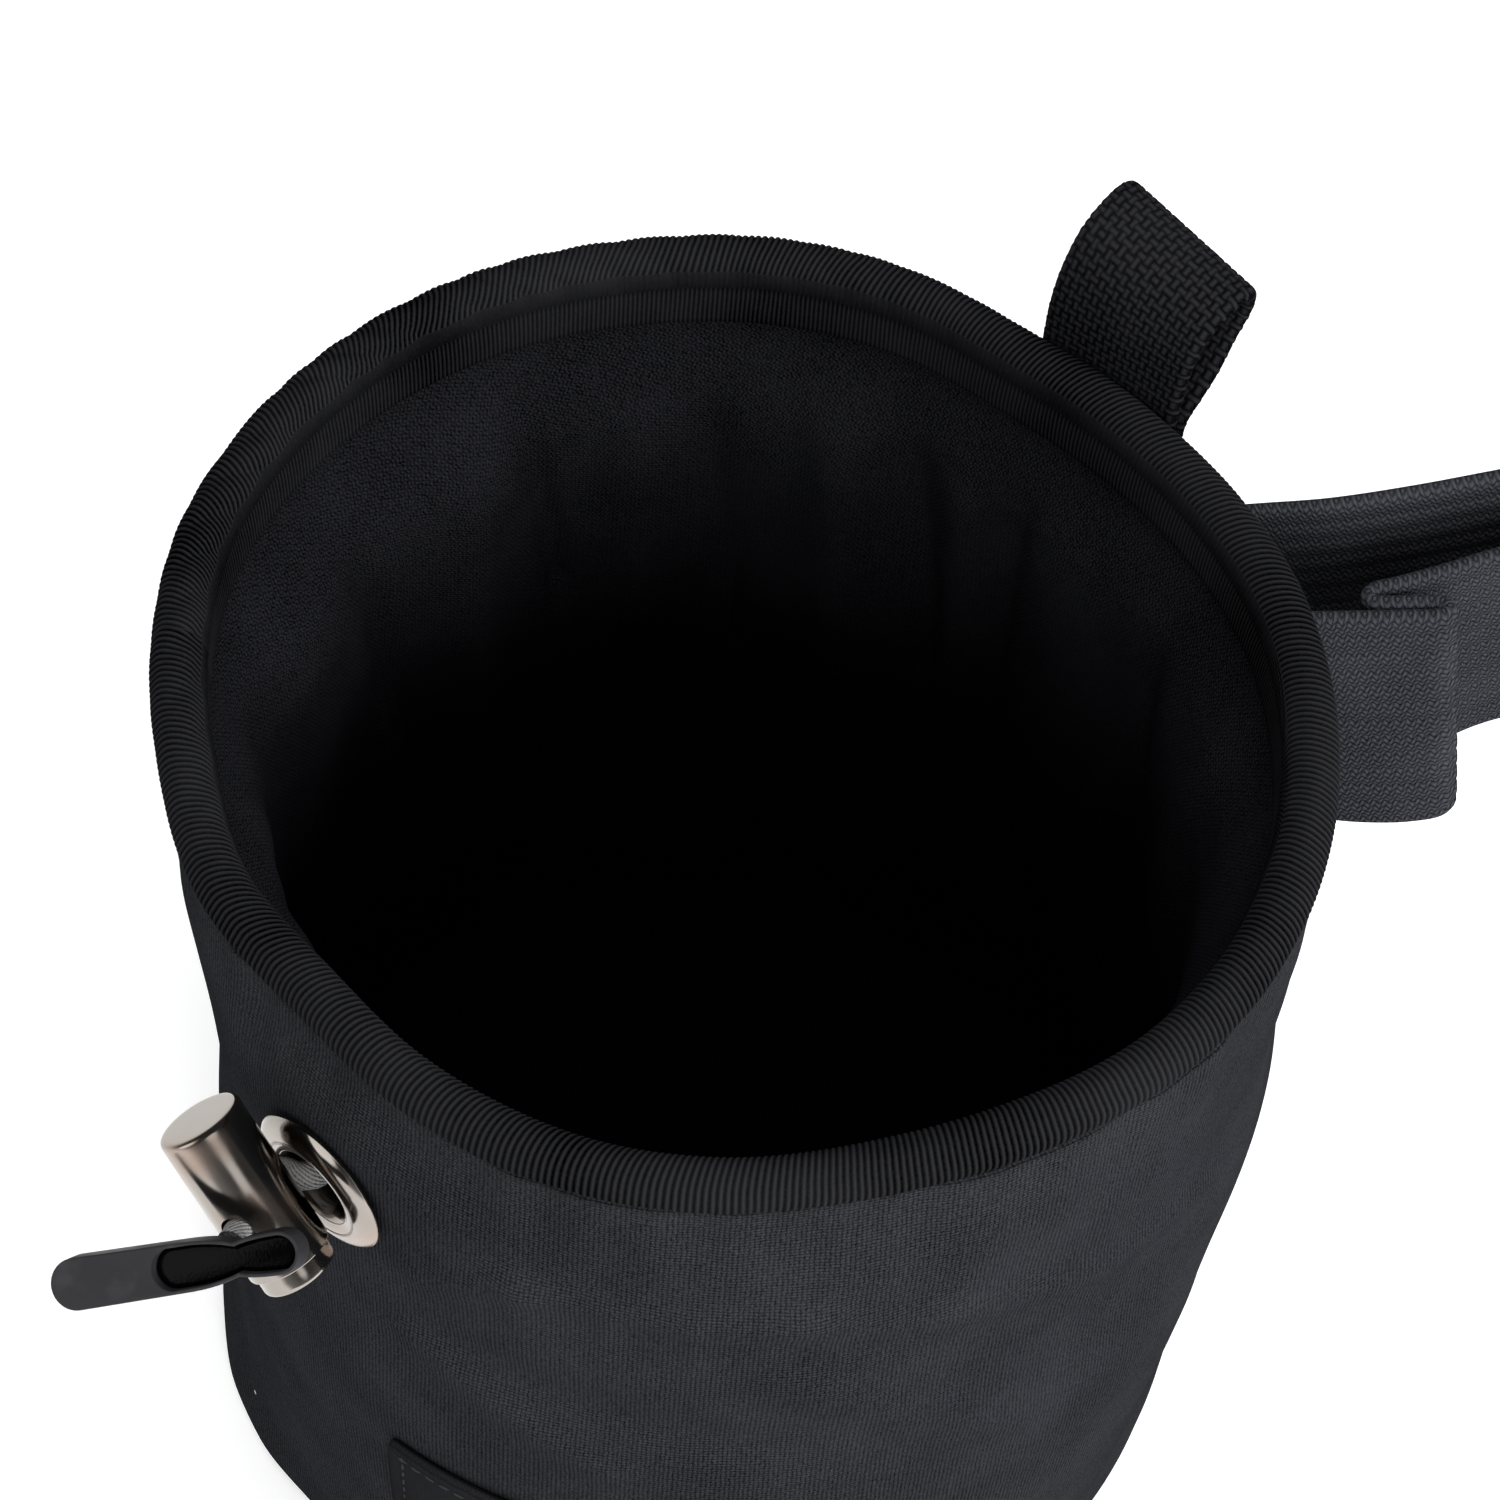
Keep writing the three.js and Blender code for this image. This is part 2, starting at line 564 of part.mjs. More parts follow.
function make_elastic_band() {
  const tilt = radians(band_tilt);
  const outwards = new THREE.Vector3(Math.cos(tilt), 0, Math.sin(tilt));
  const across = new THREE.Vector3(0, 1, 0);
  const downwards = new THREE.Vector3(Math.sin(tilt), 0, -Math.cos(tilt));
  const edge = (lean_share) => new THREE.CatmullRomCurve3(BAND_LINE.map((row) => new THREE.Vector3(
    row.out * band_reach, (row.across + row.lean * lean_share) * band_reach, 0,
  )), false, "centripetal");
  const top = edge(0);
  const bottom = edge(1);
  const steps = 50;
  const seam_share = 0.08;
  const place = (share, through, down) => {
    const point = top.getPoint(share).lerp(bottom.getPoint(share), down);
    const tangent = top.getTangent(share).lerp(bottom.getTangent(share), down);
    const normal = new THREE.Vector2(tangent.y, -tangent.x).normalize();
    return band_start.clone()
      .addScaledVector(outwards, point.x + normal.x * through * band_thickness)
      .addScaledVector(across, point.y + normal.y * through * band_thickness)
      .addScaledVector(downwards, down * band_width);
  };
  return bent(steps, 3, (share, through, down) => {
    const point = place(share, through, down);
    for (const end of [0, 1]) {
      const seam = place(end, through, down);
      const shift = off_the_wall(seam).sub(seam);
      point.addScaledVector(shift, Math.max(1 - Math.abs(share - end) / seam_share, 0));
    }
    return point;
  });
}

function make_eyelet() {
  const outer = eyelet_diameter / 2;
  const hole = eyelet_hole_diameter / 2;
  const wall_bow = (eyelet_tube_radius + eyelet_back_flange) ** 2 / (2 * mouth_radius);
  const back = shell_wall + clearance + wall_bow;
  const rows = [
    [hole, -back - 0.7],
    [eyelet_tube_radius + eyelet_back_flange, -back - 0.7],
    [eyelet_tube_radius + eyelet_back_flange, -back],
    [eyelet_tube_radius, -back],
    [eyelet_tube_radius, clearance],
    [outer - 0.5, clearance],
    [outer, clearance + 0.5],
    [outer - 0.5, eyelet_proud * 0.55],
    [outer - 1.8, eyelet_proud * 0.88],
    [outer - 3, eyelet_proud],
    [hole + 0.7, eyelet_proud * 0.8],
    [hole, eyelet_proud * 0.4],
    [hole, -back - 0.7],
  ];
  return laid(lathe(rows, ring_segments), eyelet_centre, out);
}

function make_lock_barrel() {
  const radius = lock_diameter / 2;
  const bore = lock_bore_diameter / 2;
  const half = lock_length / 2;
  const bore_end = half - lock_bore_depth;
  const body = lathe([
    [0, -half], [radius - lock_edge, -half], [radius - lock_edge * 0.3, -half + lock_edge * 0.3],
    [radius, -half + lock_edge], [radius, half - 0.2], [radius - 0.2, half], [bore, half],
    [bore, bore_end], [0, bore_end],
  ], ring_segments);
  const hole = rod(lock_hole_diameter / 2, lock_diameter + 4, ring_segments);
  return geometry_of(solid_of(laid(body, lock_centre, lock_axis))
    .subtract(solid_of(laid(hole, lock_hole_centre, lock_hole_direction))));
}

function make_lock_plunger() {
  const radius = lock_bore_diameter / 2 - plunger_running_gap;
  const half = lock_length / 2;
  const start = half - plunger_inside;
  const end = half + plunger_proud;
  const body = lathe([
    [0, start], [radius, start], [radius, end - lock_edge],
    [radius - lock_edge * 0.3, end - lock_edge * 0.3], [radius - lock_edge, end], [0, end],
  ], ring_segments);
  const slot_length = lock_hole_diameter + plunger_travel;
  const slot = new THREE.BoxGeometry(lock_hole_diameter, slot_length, lock_diameter);
  const side = new THREE.Vector3().crossVectors(lock_axis, lock_hole_direction);
  const frame = new THREE.Matrix4().makeBasis(side, lock_axis, lock_hole_direction);
  const slot_centre = lock_hole_centre.clone().addScaledVector(lock_axis, plunger_travel / 2);
  slot.applyMatrix4(frame).translate(slot_centre.x, slot_centre.y, slot_centre.z);
  return geometry_of(solid_of(laid(body, lock_centre, lock_axis)).subtract(solid_of(slot)));
}

// The cord: round its channel, out of the eyelet, and straight through the lock to the pull.
function make_drawcord() {
  const points = CORD_RING.map(({ azimuth, inside, below }) => new THREE.Vector3(
    (mouth_radius - inside) * Math.cos(radians(azimuth)),
    (mouth_radius - inside) * Math.sin(radians(azimuth)),
    eyelet_height - below,
  ));
  for (const row of CORD_EXIT) {
    points.push(eyelet_centre.clone().addScaledVector(along, row.along)
      .addScaledVector(out, row.out).addScaledVector(up, row.up));
  }
  const slant = pull_face.angleTo(lock_hole_direction);
  const face_reach = (pull_thickness / 2 + clearance) / Math.cos(slant);
  const cord_end = pull_reach - face_reach - (cord_diameter / 2) * Math.tan(slant);
  for (const reach of [-lock_diameter * 0.66, 0, cord_end]) {
    points.push(lock_hole_centre.clone().addScaledVector(lock_hole_direction, reach));
  }
  const route = new THREE.CatmullRomCurve3(points, false, "centripetal");
  const section = new THREE.Shape();
  section.absarc(0, 0, cord_diameter / 2, 0, 2 * Math.PI);
  return new THREE.ExtrudeGeometry(section, {
    steps: 78, curveSegments: 4, bevelEnabled: false, extrudePath: route,
  });
}

// The pull: a tongue, a teardrop recess and a small ring with its own recess, drawn from the ring's centre.
function make_cord_pull() {
  const half = pull_width / 2;
  const ring = pull_width * 0.41;
  const neck = ring * 0.78;
  const tip = pull_length - ring;
  const outline = new THREE.Shape();
  outline.moveTo(0, ring);
  outline.quadraticCurveTo(pull_length * 0.11, ring, pull_length * 0.17, neck);
  outline.quadraticCurveTo(pull_length * 0.26, half * 0.95, pull_length * 0.38, half * 0.95);
  outline.lineTo(tip - half, half);
  outline.absarc(tip - half, 0, half, Math.PI / 2, -Math.PI / 2, true);
  outline.lineTo(pull_length * 0.38, -half * 0.95);
  outline.quadraticCurveTo(pull_length * 0.26, -half * 0.95, pull_length * 0.17, -neck);
  outline.quadraticCurveTo(pull_length * 0.11, -ring, 0, -ring);
  outline.absarc(0, 0, ring, -Math.PI / 2, Math.PI / 2, true);
  const opening_radius = half * 0.95 - pull_ring_wall;
  const opening = new THREE.Shape();
  opening.moveTo(pull_length * 0.21, 0);
  opening.lineTo(pull_length * 0.37, opening_radius);
  opening.absarc(pull_length * 0.43, 0, opening_radius, Math.PI / 2, -Math.PI / 2, true);
  opening.lineTo(pull_length * 0.37, -opening_radius);
  const eye = new THREE.Shape();
  eye.absarc(0, 0, ring - pull_ring_wall, 0, 2 * Math.PI);
  const prism = (shape, bottom, top) => solid_of(new THREE.ExtrudeGeometry(shape, {
    depth: top - bottom, curveSegments: 6, bevelEnabled: false,
  }).translate(0, 0, bottom));
  const over = 2 * pull_thickness;
  const geometry = geometry_of(prism(outline, 0, pull_thickness)
    .subtract(prism(opening, pull_floor, over)).subtract(prism(eye, pull_floor, over)));
  geometry.translate(-pull_neck_to_ring, 0, -pull_thickness / 2);
  const across = new THREE.Vector3().crossVectors(pull_face, pull_direction);
  geometry.applyMatrix4(new THREE.Matrix4().makeBasis(pull_direction, across, pull_face));
  return geometry.translate(pull_neck.x, pull_neck.y, pull_neck.z);
}

function make_label_patch() {
  const sweep = label_width / mouth_radius;
  const steps = 14;
  return bent(steps, 4, (share, through, rise) => {
    const azimuth = radians(label_left_azimuth) + share * sweep;
    const height = label_top - (1 - rise) * label_height;
    const radius = shell_radius(azimuth, height) + clearance * 1.5 + (0.5 - through) * label_thickness;
    return new THREE.Vector3(radius * Math.cos(azimuth), radius * Math.sin(azimuth), height);
  });
}

const bag = new THREE.Group();
const cloth = 0x2b2d31;
bag.add(named_mesh("outer_shell", make_outer_shell(), cloth, 0.95, 0));
bag.add(named_mesh("base_panel", make_base_panel(), cloth, 0.95, 0));
bag.add(named_mesh("lining", make_lining(), 0x1d1e20, 0.95, 0));
bag.add(named_mesh("rim_binding", make_rim_binding(), 0x1a1b1d, 0.8, 0));
bag.add(named_mesh("hang_loop", make_hang_loop(), 0x232427, 0.85, 0));
bag.add(named_mesh("elastic_band", make_elastic_band(), 0x2a2b2e, 0.85, 0));
bag.add(named_mesh("eyelet", make_eyelet(), 0x6f6a66, 0.18, 1));

const cord_fittings = new THREE.Group();
cord_fittings.add(named_mesh("cord_lock_barrel", make_lock_barrel(), 0x6b6763, 0.18, 1));
cord_fittings.add(named_mesh("cord_lock_plunger", make_lock_plunger(), 0x77736e, 0.2, 1));
cord_fittings.add(named_mesh("drawcord", make_drawcord(), 0x3a3a3c, 0.9, 0));
cord_fittings.add(named_mesh("cord_pull", make_cord_pull(), 0x454547, 0.7, 0));
bag.add(cord_fittings);
bag.add(named_mesh("label_patch", make_label_patch(), 0x303135, 0.8, 0));

export default bag;
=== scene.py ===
"""The looks of a climbing chalk bag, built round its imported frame.

Each sub-assembly is a class that holds its sizes in metres and makes, dresses and hands over its
pieces: the cloth wall, the gathered lining, the ribbed rim, the webbing loop, the elastic band, the
eyelet, the cord lock with its cord and pull, and the bare label patch.
"""

import logging
import math
from dataclasses import dataclass, field
from enum import Enum

import bmesh
import bpy
import numpy as np
from mathutils import Matrix, Vector

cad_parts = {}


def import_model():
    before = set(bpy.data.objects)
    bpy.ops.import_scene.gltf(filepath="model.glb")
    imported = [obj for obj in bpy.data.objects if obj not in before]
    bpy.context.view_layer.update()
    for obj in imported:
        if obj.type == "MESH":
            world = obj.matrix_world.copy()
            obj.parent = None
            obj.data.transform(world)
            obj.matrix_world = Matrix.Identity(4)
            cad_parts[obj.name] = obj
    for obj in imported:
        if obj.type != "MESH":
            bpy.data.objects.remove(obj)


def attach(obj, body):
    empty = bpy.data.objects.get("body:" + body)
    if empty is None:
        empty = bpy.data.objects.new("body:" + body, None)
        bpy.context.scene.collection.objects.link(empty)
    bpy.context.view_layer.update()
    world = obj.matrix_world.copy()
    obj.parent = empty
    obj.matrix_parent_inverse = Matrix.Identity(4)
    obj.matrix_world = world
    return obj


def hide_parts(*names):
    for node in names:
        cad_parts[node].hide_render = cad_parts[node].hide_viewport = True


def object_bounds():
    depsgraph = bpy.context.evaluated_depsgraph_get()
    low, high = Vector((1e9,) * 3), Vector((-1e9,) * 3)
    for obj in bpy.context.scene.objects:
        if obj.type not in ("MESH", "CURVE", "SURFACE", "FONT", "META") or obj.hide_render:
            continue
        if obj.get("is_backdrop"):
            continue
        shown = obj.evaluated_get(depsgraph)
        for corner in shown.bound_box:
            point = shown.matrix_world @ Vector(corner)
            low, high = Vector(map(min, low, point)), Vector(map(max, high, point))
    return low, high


LOG = logging.getLogger("chalk_bag")
MM = 0.001
TURN = 2 * math.pi
# Share of a cloth's tone given to the painted highlights on its thread crests.
CREST_HIGHLIGHT_SHARE = 0.75


class Body(Enum):
    """The two rigid bodies that pieces ride on."""

    BAG = "bag"
    PLUNGER = "plunger"


class Slot(Enum):
    """The record's material slots."""

    SHELL = "shell_cloth"
    LINING = "lining_knit"
    BINDING = "binding_tape"
    WEBBING = "webbing"
    ELASTIC = "elastic"
    METAL = "gunmetal"
    CORD = "cord"
    RUBBER = "pull_rubber"
    LABEL = "label_cloth"


@dataclass(frozen=True)
class Section:
    """The wall's plan at one height.

    Attributes:
        height: Share of the bag's height.
        plan: Shares of the mouth's radius, every 45 degrees from +X and counter-clockwise.
    """

    height: float
    plan: tuple[float, ...]


@dataclass(frozen=True)
class Fold:
    """A soft ridge or dent that runs between two places on the cloth.

    Attributes:
        start: Azimuth in degrees and share of the bag's height.
        end: The same for the other end.
        rise: Height of the ridge as a share of the mouth's radius, negative for a dent.
        spread: Width as a share of the mouth's radius.
    """

    start: tuple[float, float]
    end: tuple[float, float]
    rise: float
    spread: float


RIM_PLAN = (
    1.022, 1.008, 0.982, 0.958, 0.95, 0.98, 0.998, 1.003, 1.013, 1.02, 1.022, 1.022,
    1.004, 0.988, 0.99, 0.968, 0.985, 0.999, 1.0, 0.987, 0.992, 1.017, 1.03, 1.03,
)

SHELL_SECTIONS = (
    Section(0.0, (1.025, 1.017, 1.017, 1.012, 1.027, 0.965, 1.005, 0.985)),
    Section(0.08, (1.039, 1.025, 1.022, 1.012, 1.01, 0.975, 1.015, 1.0)),
    Section(0.21, (1.059, 1.04, 1.03, 1.01, 0.99, 0.99, 1.03, 1.025)),
    Section(0.36, (1.085, 1.05, 1.035, 1.005, 0.97, 1.01, 1.04, 1.05)),
    Section(0.54, (1.088, 1.05, 1.035, 1.01, 0.978, 1.022, 1.04, 1.05)),
    Section(0.7, (1.076, 1.045, 1.03, 1.02, 1.013, 1.035, 1.04, 1.05)),
    Section(0.86, (1.071, 1.035, 1.03, 1.03, 1.014, 1.04, 1.04, 1.048)),
)

WALL_FOLDS = (
    Fold((-117, 0.76), (-107, 0.81), 0.012, 0.05),
    Fold((-107, 0.81), (-79, 0.82), 0.012, 0.05),
    Fold((-79, 0.82), (-27, 0.67), 0.012, 0.05),
    Fold((-79, 0.71), (-53, 0.52), 0.01, 0.06),
    Fold((-119, 0.64), (-98, 0.53), 0.014, 0.05),
    Fold((-112, 0.66), (-84, 0.6), -0.012, 0.08),
    Fold((200, 0.72), (204, 0.6), -0.035, 0.22),
    Fold((-12, 0.38), (-18, 0.2), -0.024, 0.18),
    Fold((201, 0.02), (208, 0.02), 0.022, 0.15),
)

LINING_FOLDS = (
    Fold((163, 0.88), (160, 0.4), -0.03, 0.14),
    Fold((150.6, 0.91), (137.6, 0.42), 0.022, 0.05),
    Fold((131, 0.86), (128.5, 0.48), -0.036, 0.09),
    Fold((121, 0.9), (116.3, 0.66), 0.025, 0.035),
    Fold((107, 0.86), (104.7, 0.59), -0.034, 0.07),
    Fold((96.9, 0.86), (92, 0.55), 0.022, 0.045),
    Fold((80.2, 0.86), (77.6, 0.55), -0.034, 0.08),
    Fold((69, 0.86), (64, 0.58), 0.02, 0.04),
    Fold((62, 0.84), (61, 0.57), -0.022, 0.05),
    Fold((53.3, 0.87), (55, 0.5), 0.02, 0.04),
    Fold((45, 0.86), (40, 0.45), -0.036, 0.12),
    Fold((28, 0.88), (24, 0.45), 0.022, 0.05),
    Fold((10, 0.86), (6, 0.4), -0.03, 0.14),
    Fold((-38, 0.84), (-34, 0.3), -0.03, 0.13),
    Fold((-62, 0.88), (-66, 0.4), 0.018, 0.06),
    Fold((-88, 0.84), (-84, 0.3), -0.03, 0.13),
    Fold((-150, 0.84), (-146, 0.3), -0.026, 0.13),
)


def smooth_between(
    before: np.ndarray, start: np.ndarray, end: np.ndarray, after: np.ndarray, share: np.ndarray
) -> np.ndarray:
    """Runs smoothly from start to end.

    Args:
        before: The value one step before start.
        start: The value at share 0.
        end: The value at share 1.
        after: The value one step past end.
        share: How far between start and end.

    Returns:
        The values at the shares.
    """
    slope_in = (end - before) / 2
    slope_out = (after - start) / 2
    square = share * share
    cube = square * share
    return (
        (2 * cube - 3 * square + 1) * start
        + (cube - 2 * square + share) * slope_in
        + (3 * square - 2 * cube) * end
        + (cube - square) * slope_out
    )


def around(plan: tuple[float, ...], azimuth: np.ndarray) -> np.ndarray:
    """Reads a closed plan, whose entries lie at equal angles.

    Args:
        plan: The entries, from +X and counter-clockwise.
        azimuth: Angles in radians.

    Returns:
        The plan's value at each angle.
    """
    entries = np.asarray(plan)
    place = np.mod(azimuth / TURN, 1.0) * len(entries)
    index = np.floor(place).astype(int)

    def entry(step: int) -> np.ndarray:
        """Returns the entries at a step from the index."""
        return entries[np.mod(index + step, len(entries))]

    return smooth_between(entry(-1), entry(0), entry(1), entry(2), place - index)


def smooth_step(value: np.ndarray, low: float, high: float) -> np.ndarray:
    """Rises from 0 at low to 1 at high with soft ends."""
    share = np.clip((value - low) / (high - low), 0, 1)
    return share * share * (3 - 2 * share)


def lattice_noise(across: np.ndarray, along: np.ndarray, seed: int, period: int = 0) -> np.ndarray:
    """Makes smooth random waves about one unit long.

    Args:
        across: First coordinate, in waves.
        along: Second coordinate, in waves.
        seed: Picks the waves.
        period: Waves after which the first coordinate repeats, or 0.

    Returns:
        Values from -1 to 1.
    """
    table = np.random.default_rng(seed).uniform(-1, 1, (256, 256))
    wrap = period or 256
    first = np.floor(across).astype(int)
    second = np.floor(along).astype(int)
    x = across - first
    y = along - second
    x = x * x * (3 - 2 * x)
    y = y * y * (3 - 2 * y)

    def corner(step_x: int, step_y: int) -> np.ndarray:
        """Returns the lattice values at a step from each cell."""
        return table[np.mod(np.mod(first + step_x, wrap), 256), np.mod(second + step_y, 256)]

    low = corner(0, 0) * (1 - x) + corner(1, 0) * x
    high = corner(0, 1) * (1 - x) + corner(1, 1) * x
    return low * (1 - y) + high * y


@dataclass(frozen=True)
class BagForm:
    """The bag's main form: what the wall, lining and rim share.

    Attributes:
        mouth_radius: Radius of the mouth's bead line.
        height: Height of the bead's centre above the floor.
        bead_radius: Radius of the bead.
        shell_wall: Thickness of the outer cloth.
        shell_stand_out: How far the cloth stands out from the bead line.
        floor_edge_radius: Radius of the turn in at the floor.
        floor_lip_width: Width of the turned-in edge.
        clearance: Space kept between pieces.
        panel_thickness: Thickness of the floor panel.
        lining_wall: Thickness of the lining.
        lining_radius: Radius of the lining's cup.
        lining_corner_radius: Radius of the cup's corner.
        lining_gather_depth: Height over which the lining is gathered in.
        lining_top_inset: Space between the lining's top and the bead.
        skirt_height: Height of the tape's skirt.
        rim_blend: Shares of the height where the wall's plan turns into the mouth's.
    """

    mouth_radius: float = 0.059
    height: float = 0.135
    bead_radius: float = 0.0026
    shell_wall: float = 0.0012
    shell_stand_out: float = 0.0019
    floor_edge_radius: float = 0.004
    floor_lip_width: float = 0.002
    clearance: float = 0.0003
    panel_thickness: float = 0.002
    lining_wall: float = 0.001
    lining_radius: float = 0.0544
    lining_corner_radius: float = 0.012
    lining_gather_depth: float = 0.024
    lining_top_inset: float = 0.0005
    skirt_height: float = 0.0046
    rim_blend: tuple[float, float] = (0.86, 0.975)

    @property
    def lining_top(self) -> float:
        """Height of the cloth edges under the bead."""
        return self.height - self.bead_radius - self.clearance

    def rim_radius(self, azimuth: np.ndarray) -> np.ndarray:
        """Returns the bead's centre line at each azimuth."""
        return self.mouth_radius * around(RIM_PLAN, azimuth)

    def fold_rise(self, folds: tuple[Fold, ...], azimuth: np.ndarray, height: np.ndarray) -> np.ndarray:
        """Adds up the folds of a table.

        Args:
            folds: The table.
            azimuth: Angles in radians.
            height: Heights above the floor.

        Returns:
            How far the cloth stands out, in metres.
        """
        total = np.zeros(np.broadcast(azimuth, height).shape)
        for fold in folds:
            ends = []
            for angle, share in (fold.start, fold.end):
                turn = math.radians(angle) - azimuth
                turn = np.arctan2(np.sin(turn), np.cos(turn))
                ends.append((turn * self.mouth_radius, share * self.height - height))
            (x, y), (end_x, end_y) = ends
            line_x, line_y = end_x - x, end_y - y
            share = np.clip(-(x * line_x + y * line_y) / (line_x**2 + line_y**2), 0, 1)
            distance = np.hypot(x + line_x * share, y + line_y * share)
            total += fold.rise * self.mouth_radius * np.exp(
                -((distance / (fold.spread * self.mouth_radius)) ** 2)
            )
        return total

    def shell_radius(self, azimuth: np.ndarray, height: np.ndarray) -> np.ndarray:
        """Gives the outside of the wall before its edge turns in at the floor.

        Args:
            azimuth: Angles in radians.
            height: Heights above the floor.

        Returns:
            The radius at each place.
        """
        azimuth, height = np.broadcast_arrays(azimuth, height)
        share = np.clip(height / self.height, 0, 1)
        heights = np.array([row.height for row in SHELL_SECTIONS])
        plans = np.stack([around(row.plan, azimuth) for row in SHELL_SECTIONS])
        last = len(heights) - 1
        index = np.clip(np.searchsorted(heights, share, side="left") - 1, 0, last - 1)

        def value(step: int) -> np.ndarray:
            """Returns the plan's value at the section a step from each place."""
            return np.take_along_axis(plans, np.clip(index + step, 0, last)[None], 0)[0]

        between = np.minimum((share - heights[index]) / (heights[index + 1] - heights[index]), 1)
        wall = self.mouth_radius * smooth_between(value(-1), value(0), value(1), value(2), between)
        top = self.rim_radius(azimuth) + self.shell_stand_out
        blend = smooth_step(share, *self.rim_blend)
        folds = self.fold_rise(WALL_FOLDS, azimuth, height)
        return wall * (1 - blend) + top * blend + folds * (1 - blend)

    def lining_outside(self, azimuth: np.ndarray, height: np.ndarray) -> np.ndarray:
        """Gives the lining's outer face: close under the bead, gathered in to the sleeve below.

        Args:
            azimuth: Angles in radians.
            height: Heights above the floor.

        Returns:
            The radius at each place.
        """
        gather = smooth_step(height, self.lining_top - self.lining_gather_depth, self.lining_top)
        sleeve = self.lining_radius * (1 + 0.35 * (around(RIM_PLAN, azimuth) - 1))
        sleeve = sleeve + self.fold_rise(LINING_FOLDS, azimuth, height)
        return sleeve * (1 - gather) + (self.rim_radius(azimuth) - self.lining_top_inset) * gather


FORM = BagForm()


def polar(radius: np.ndarray, azimuth: np.ndarray, height: np.ndarray) -> np.ndarray:
    """Turns radius, azimuth and height into points."""
    return np.stack(np.broadcast_arrays(radius * np.cos(azimuth), radius * np.sin(azimuth), height), -1)


def make_object(name: str, mesh: bpy.types.Mesh) -> bpy.types.Object:
    """Puts a mesh into the scene under a name.

    Args:
        name: The object's name.
        mesh: Its mesh or curve.

    Returns:
        The object.
    """
    piece = bpy.data.objects.new(name, mesh)
    bpy.context.scene.collection.objects.link(piece)
    return piece


def grid_object(
    name: str, points: np.ndarray, texture: np.ndarray, closed_rows: bool, closed_columns: bool
) -> bpy.types.Object:
    """Makes a smooth object of a grid of points, with a UV map in millimetres.

    Args:
        name: The object's name.
        points: Rows by columns by 3, in metres.
        texture: Rows by columns by 2, one longer than points in each closed direction.
        closed_rows: Whether the last row joins the first.
        closed_columns: Whether the last column joins the first.

    Returns:
        The object.
    """
    rows, columns = points.shape[:2]
    row_cells = rows if closed_rows else rows - 1
    column_cells = columns if closed_columns else columns - 1
    row, column = np.meshgrid(np.arange(row_cells), np.arange(column_cells), indexing="ij")
    corner_rows = np.stack([row, row, row + 1, row + 1], -1).reshape(-1)
    corner_columns = np.stack([column, column + 1, column + 1, column], -1).reshape(-1)
    corners = (corner_rows % rows) * columns + corner_columns % columns
    mesh = bpy.data.meshes.new(name)
    mesh.vertices.add(rows * columns)
    mesh.vertices.foreach_set("co", points.reshape(-1).astype(np.float32))
    mesh.loops.add(len(corners))
    mesh.loops.foreach_set("vertex_index", corners.astype(np.int32))
    mesh.polygons.add(len(corners) // 4)
    mesh.polygons.foreach_set("loop_start", np.arange(0, len(corners), 4, dtype=np.int32))
    layer = mesh.uv_layers.new(name="cloth")
    layer.data.foreach_set("uv", texture[corner_rows, corner_columns].reshape(-1).astype(np.float32))
    mesh.update(calc_edges=True)
    mesh.validate()
    mesh.shade_smooth()
    return make_object(name, mesh)


def cap_ends(piece: bpy.types.Object, rows: int, columns: int) -> None:
    """Closes the first and last rows of a grid object with one face each.

    Args:
        piece: The grid object.
        rows: Its number of rows.
        columns: Its number of columns.
    """
    work = bmesh.new()
    work.from_mesh(piece.data)
    work.verts.ensure_lookup_table()
    first = [work.verts[index] for index in range(columns)]
    last = [work.verts[(rows - 1) * columns + index] for index in range(columns)]
    work.faces.new(first[::-1])
    work.faces.new(last)
    work.to_mesh(piece.data)
    work.free()
    piece.data.update()


def plain_copy(piece: bpy.types.Object) -> bpy.types.Object:
    """Replaces a piece by the plain mesh that its modifiers make.

    Args:
        piece: The object with live modifiers.

    Returns:
        A new object of the same name with the finished mesh.
    """
    name = piece.name
    graph = bpy.context.evaluated_depsgraph_get()
    graph.update()
    mesh = bpy.data.meshes.new_from_object(piece.evaluated_get(graph))
    mesh.transform(piece.matrix_world)
    bpy.data.objects.remove(piece)
    mesh.name = name
    finished = make_object(name, mesh)
    finished.name = name
    return finished


def cut(piece: bpy.types.Object, tool: bpy.types.Object) -> bpy.types.Object:
    """Cuts a tool out of a piece.

    Args:
        piece: The closed mesh to cut.
        tool: The closed mesh to take away; it is deleted.

    Returns:
        The cut piece as a plain mesh.
    """
    modifier = piece.modifiers.new("cut", "BOOLEAN")
    modifier.operation = "DIFFERENCE"
    modifier.solver = "EXACT"
    modifier.object = tool
    finished = plain_copy(piece)
    bpy.data.objects.remove(tool)
    return finished


def frame_of(x: Vector, y: Vector, z: Vector, place: Vector) -> Matrix:
    """Builds the matrix with the three axes and a place."""
    return Matrix.Translation(place) @ Matrix((x, y, z)).transposed().to_4x4()


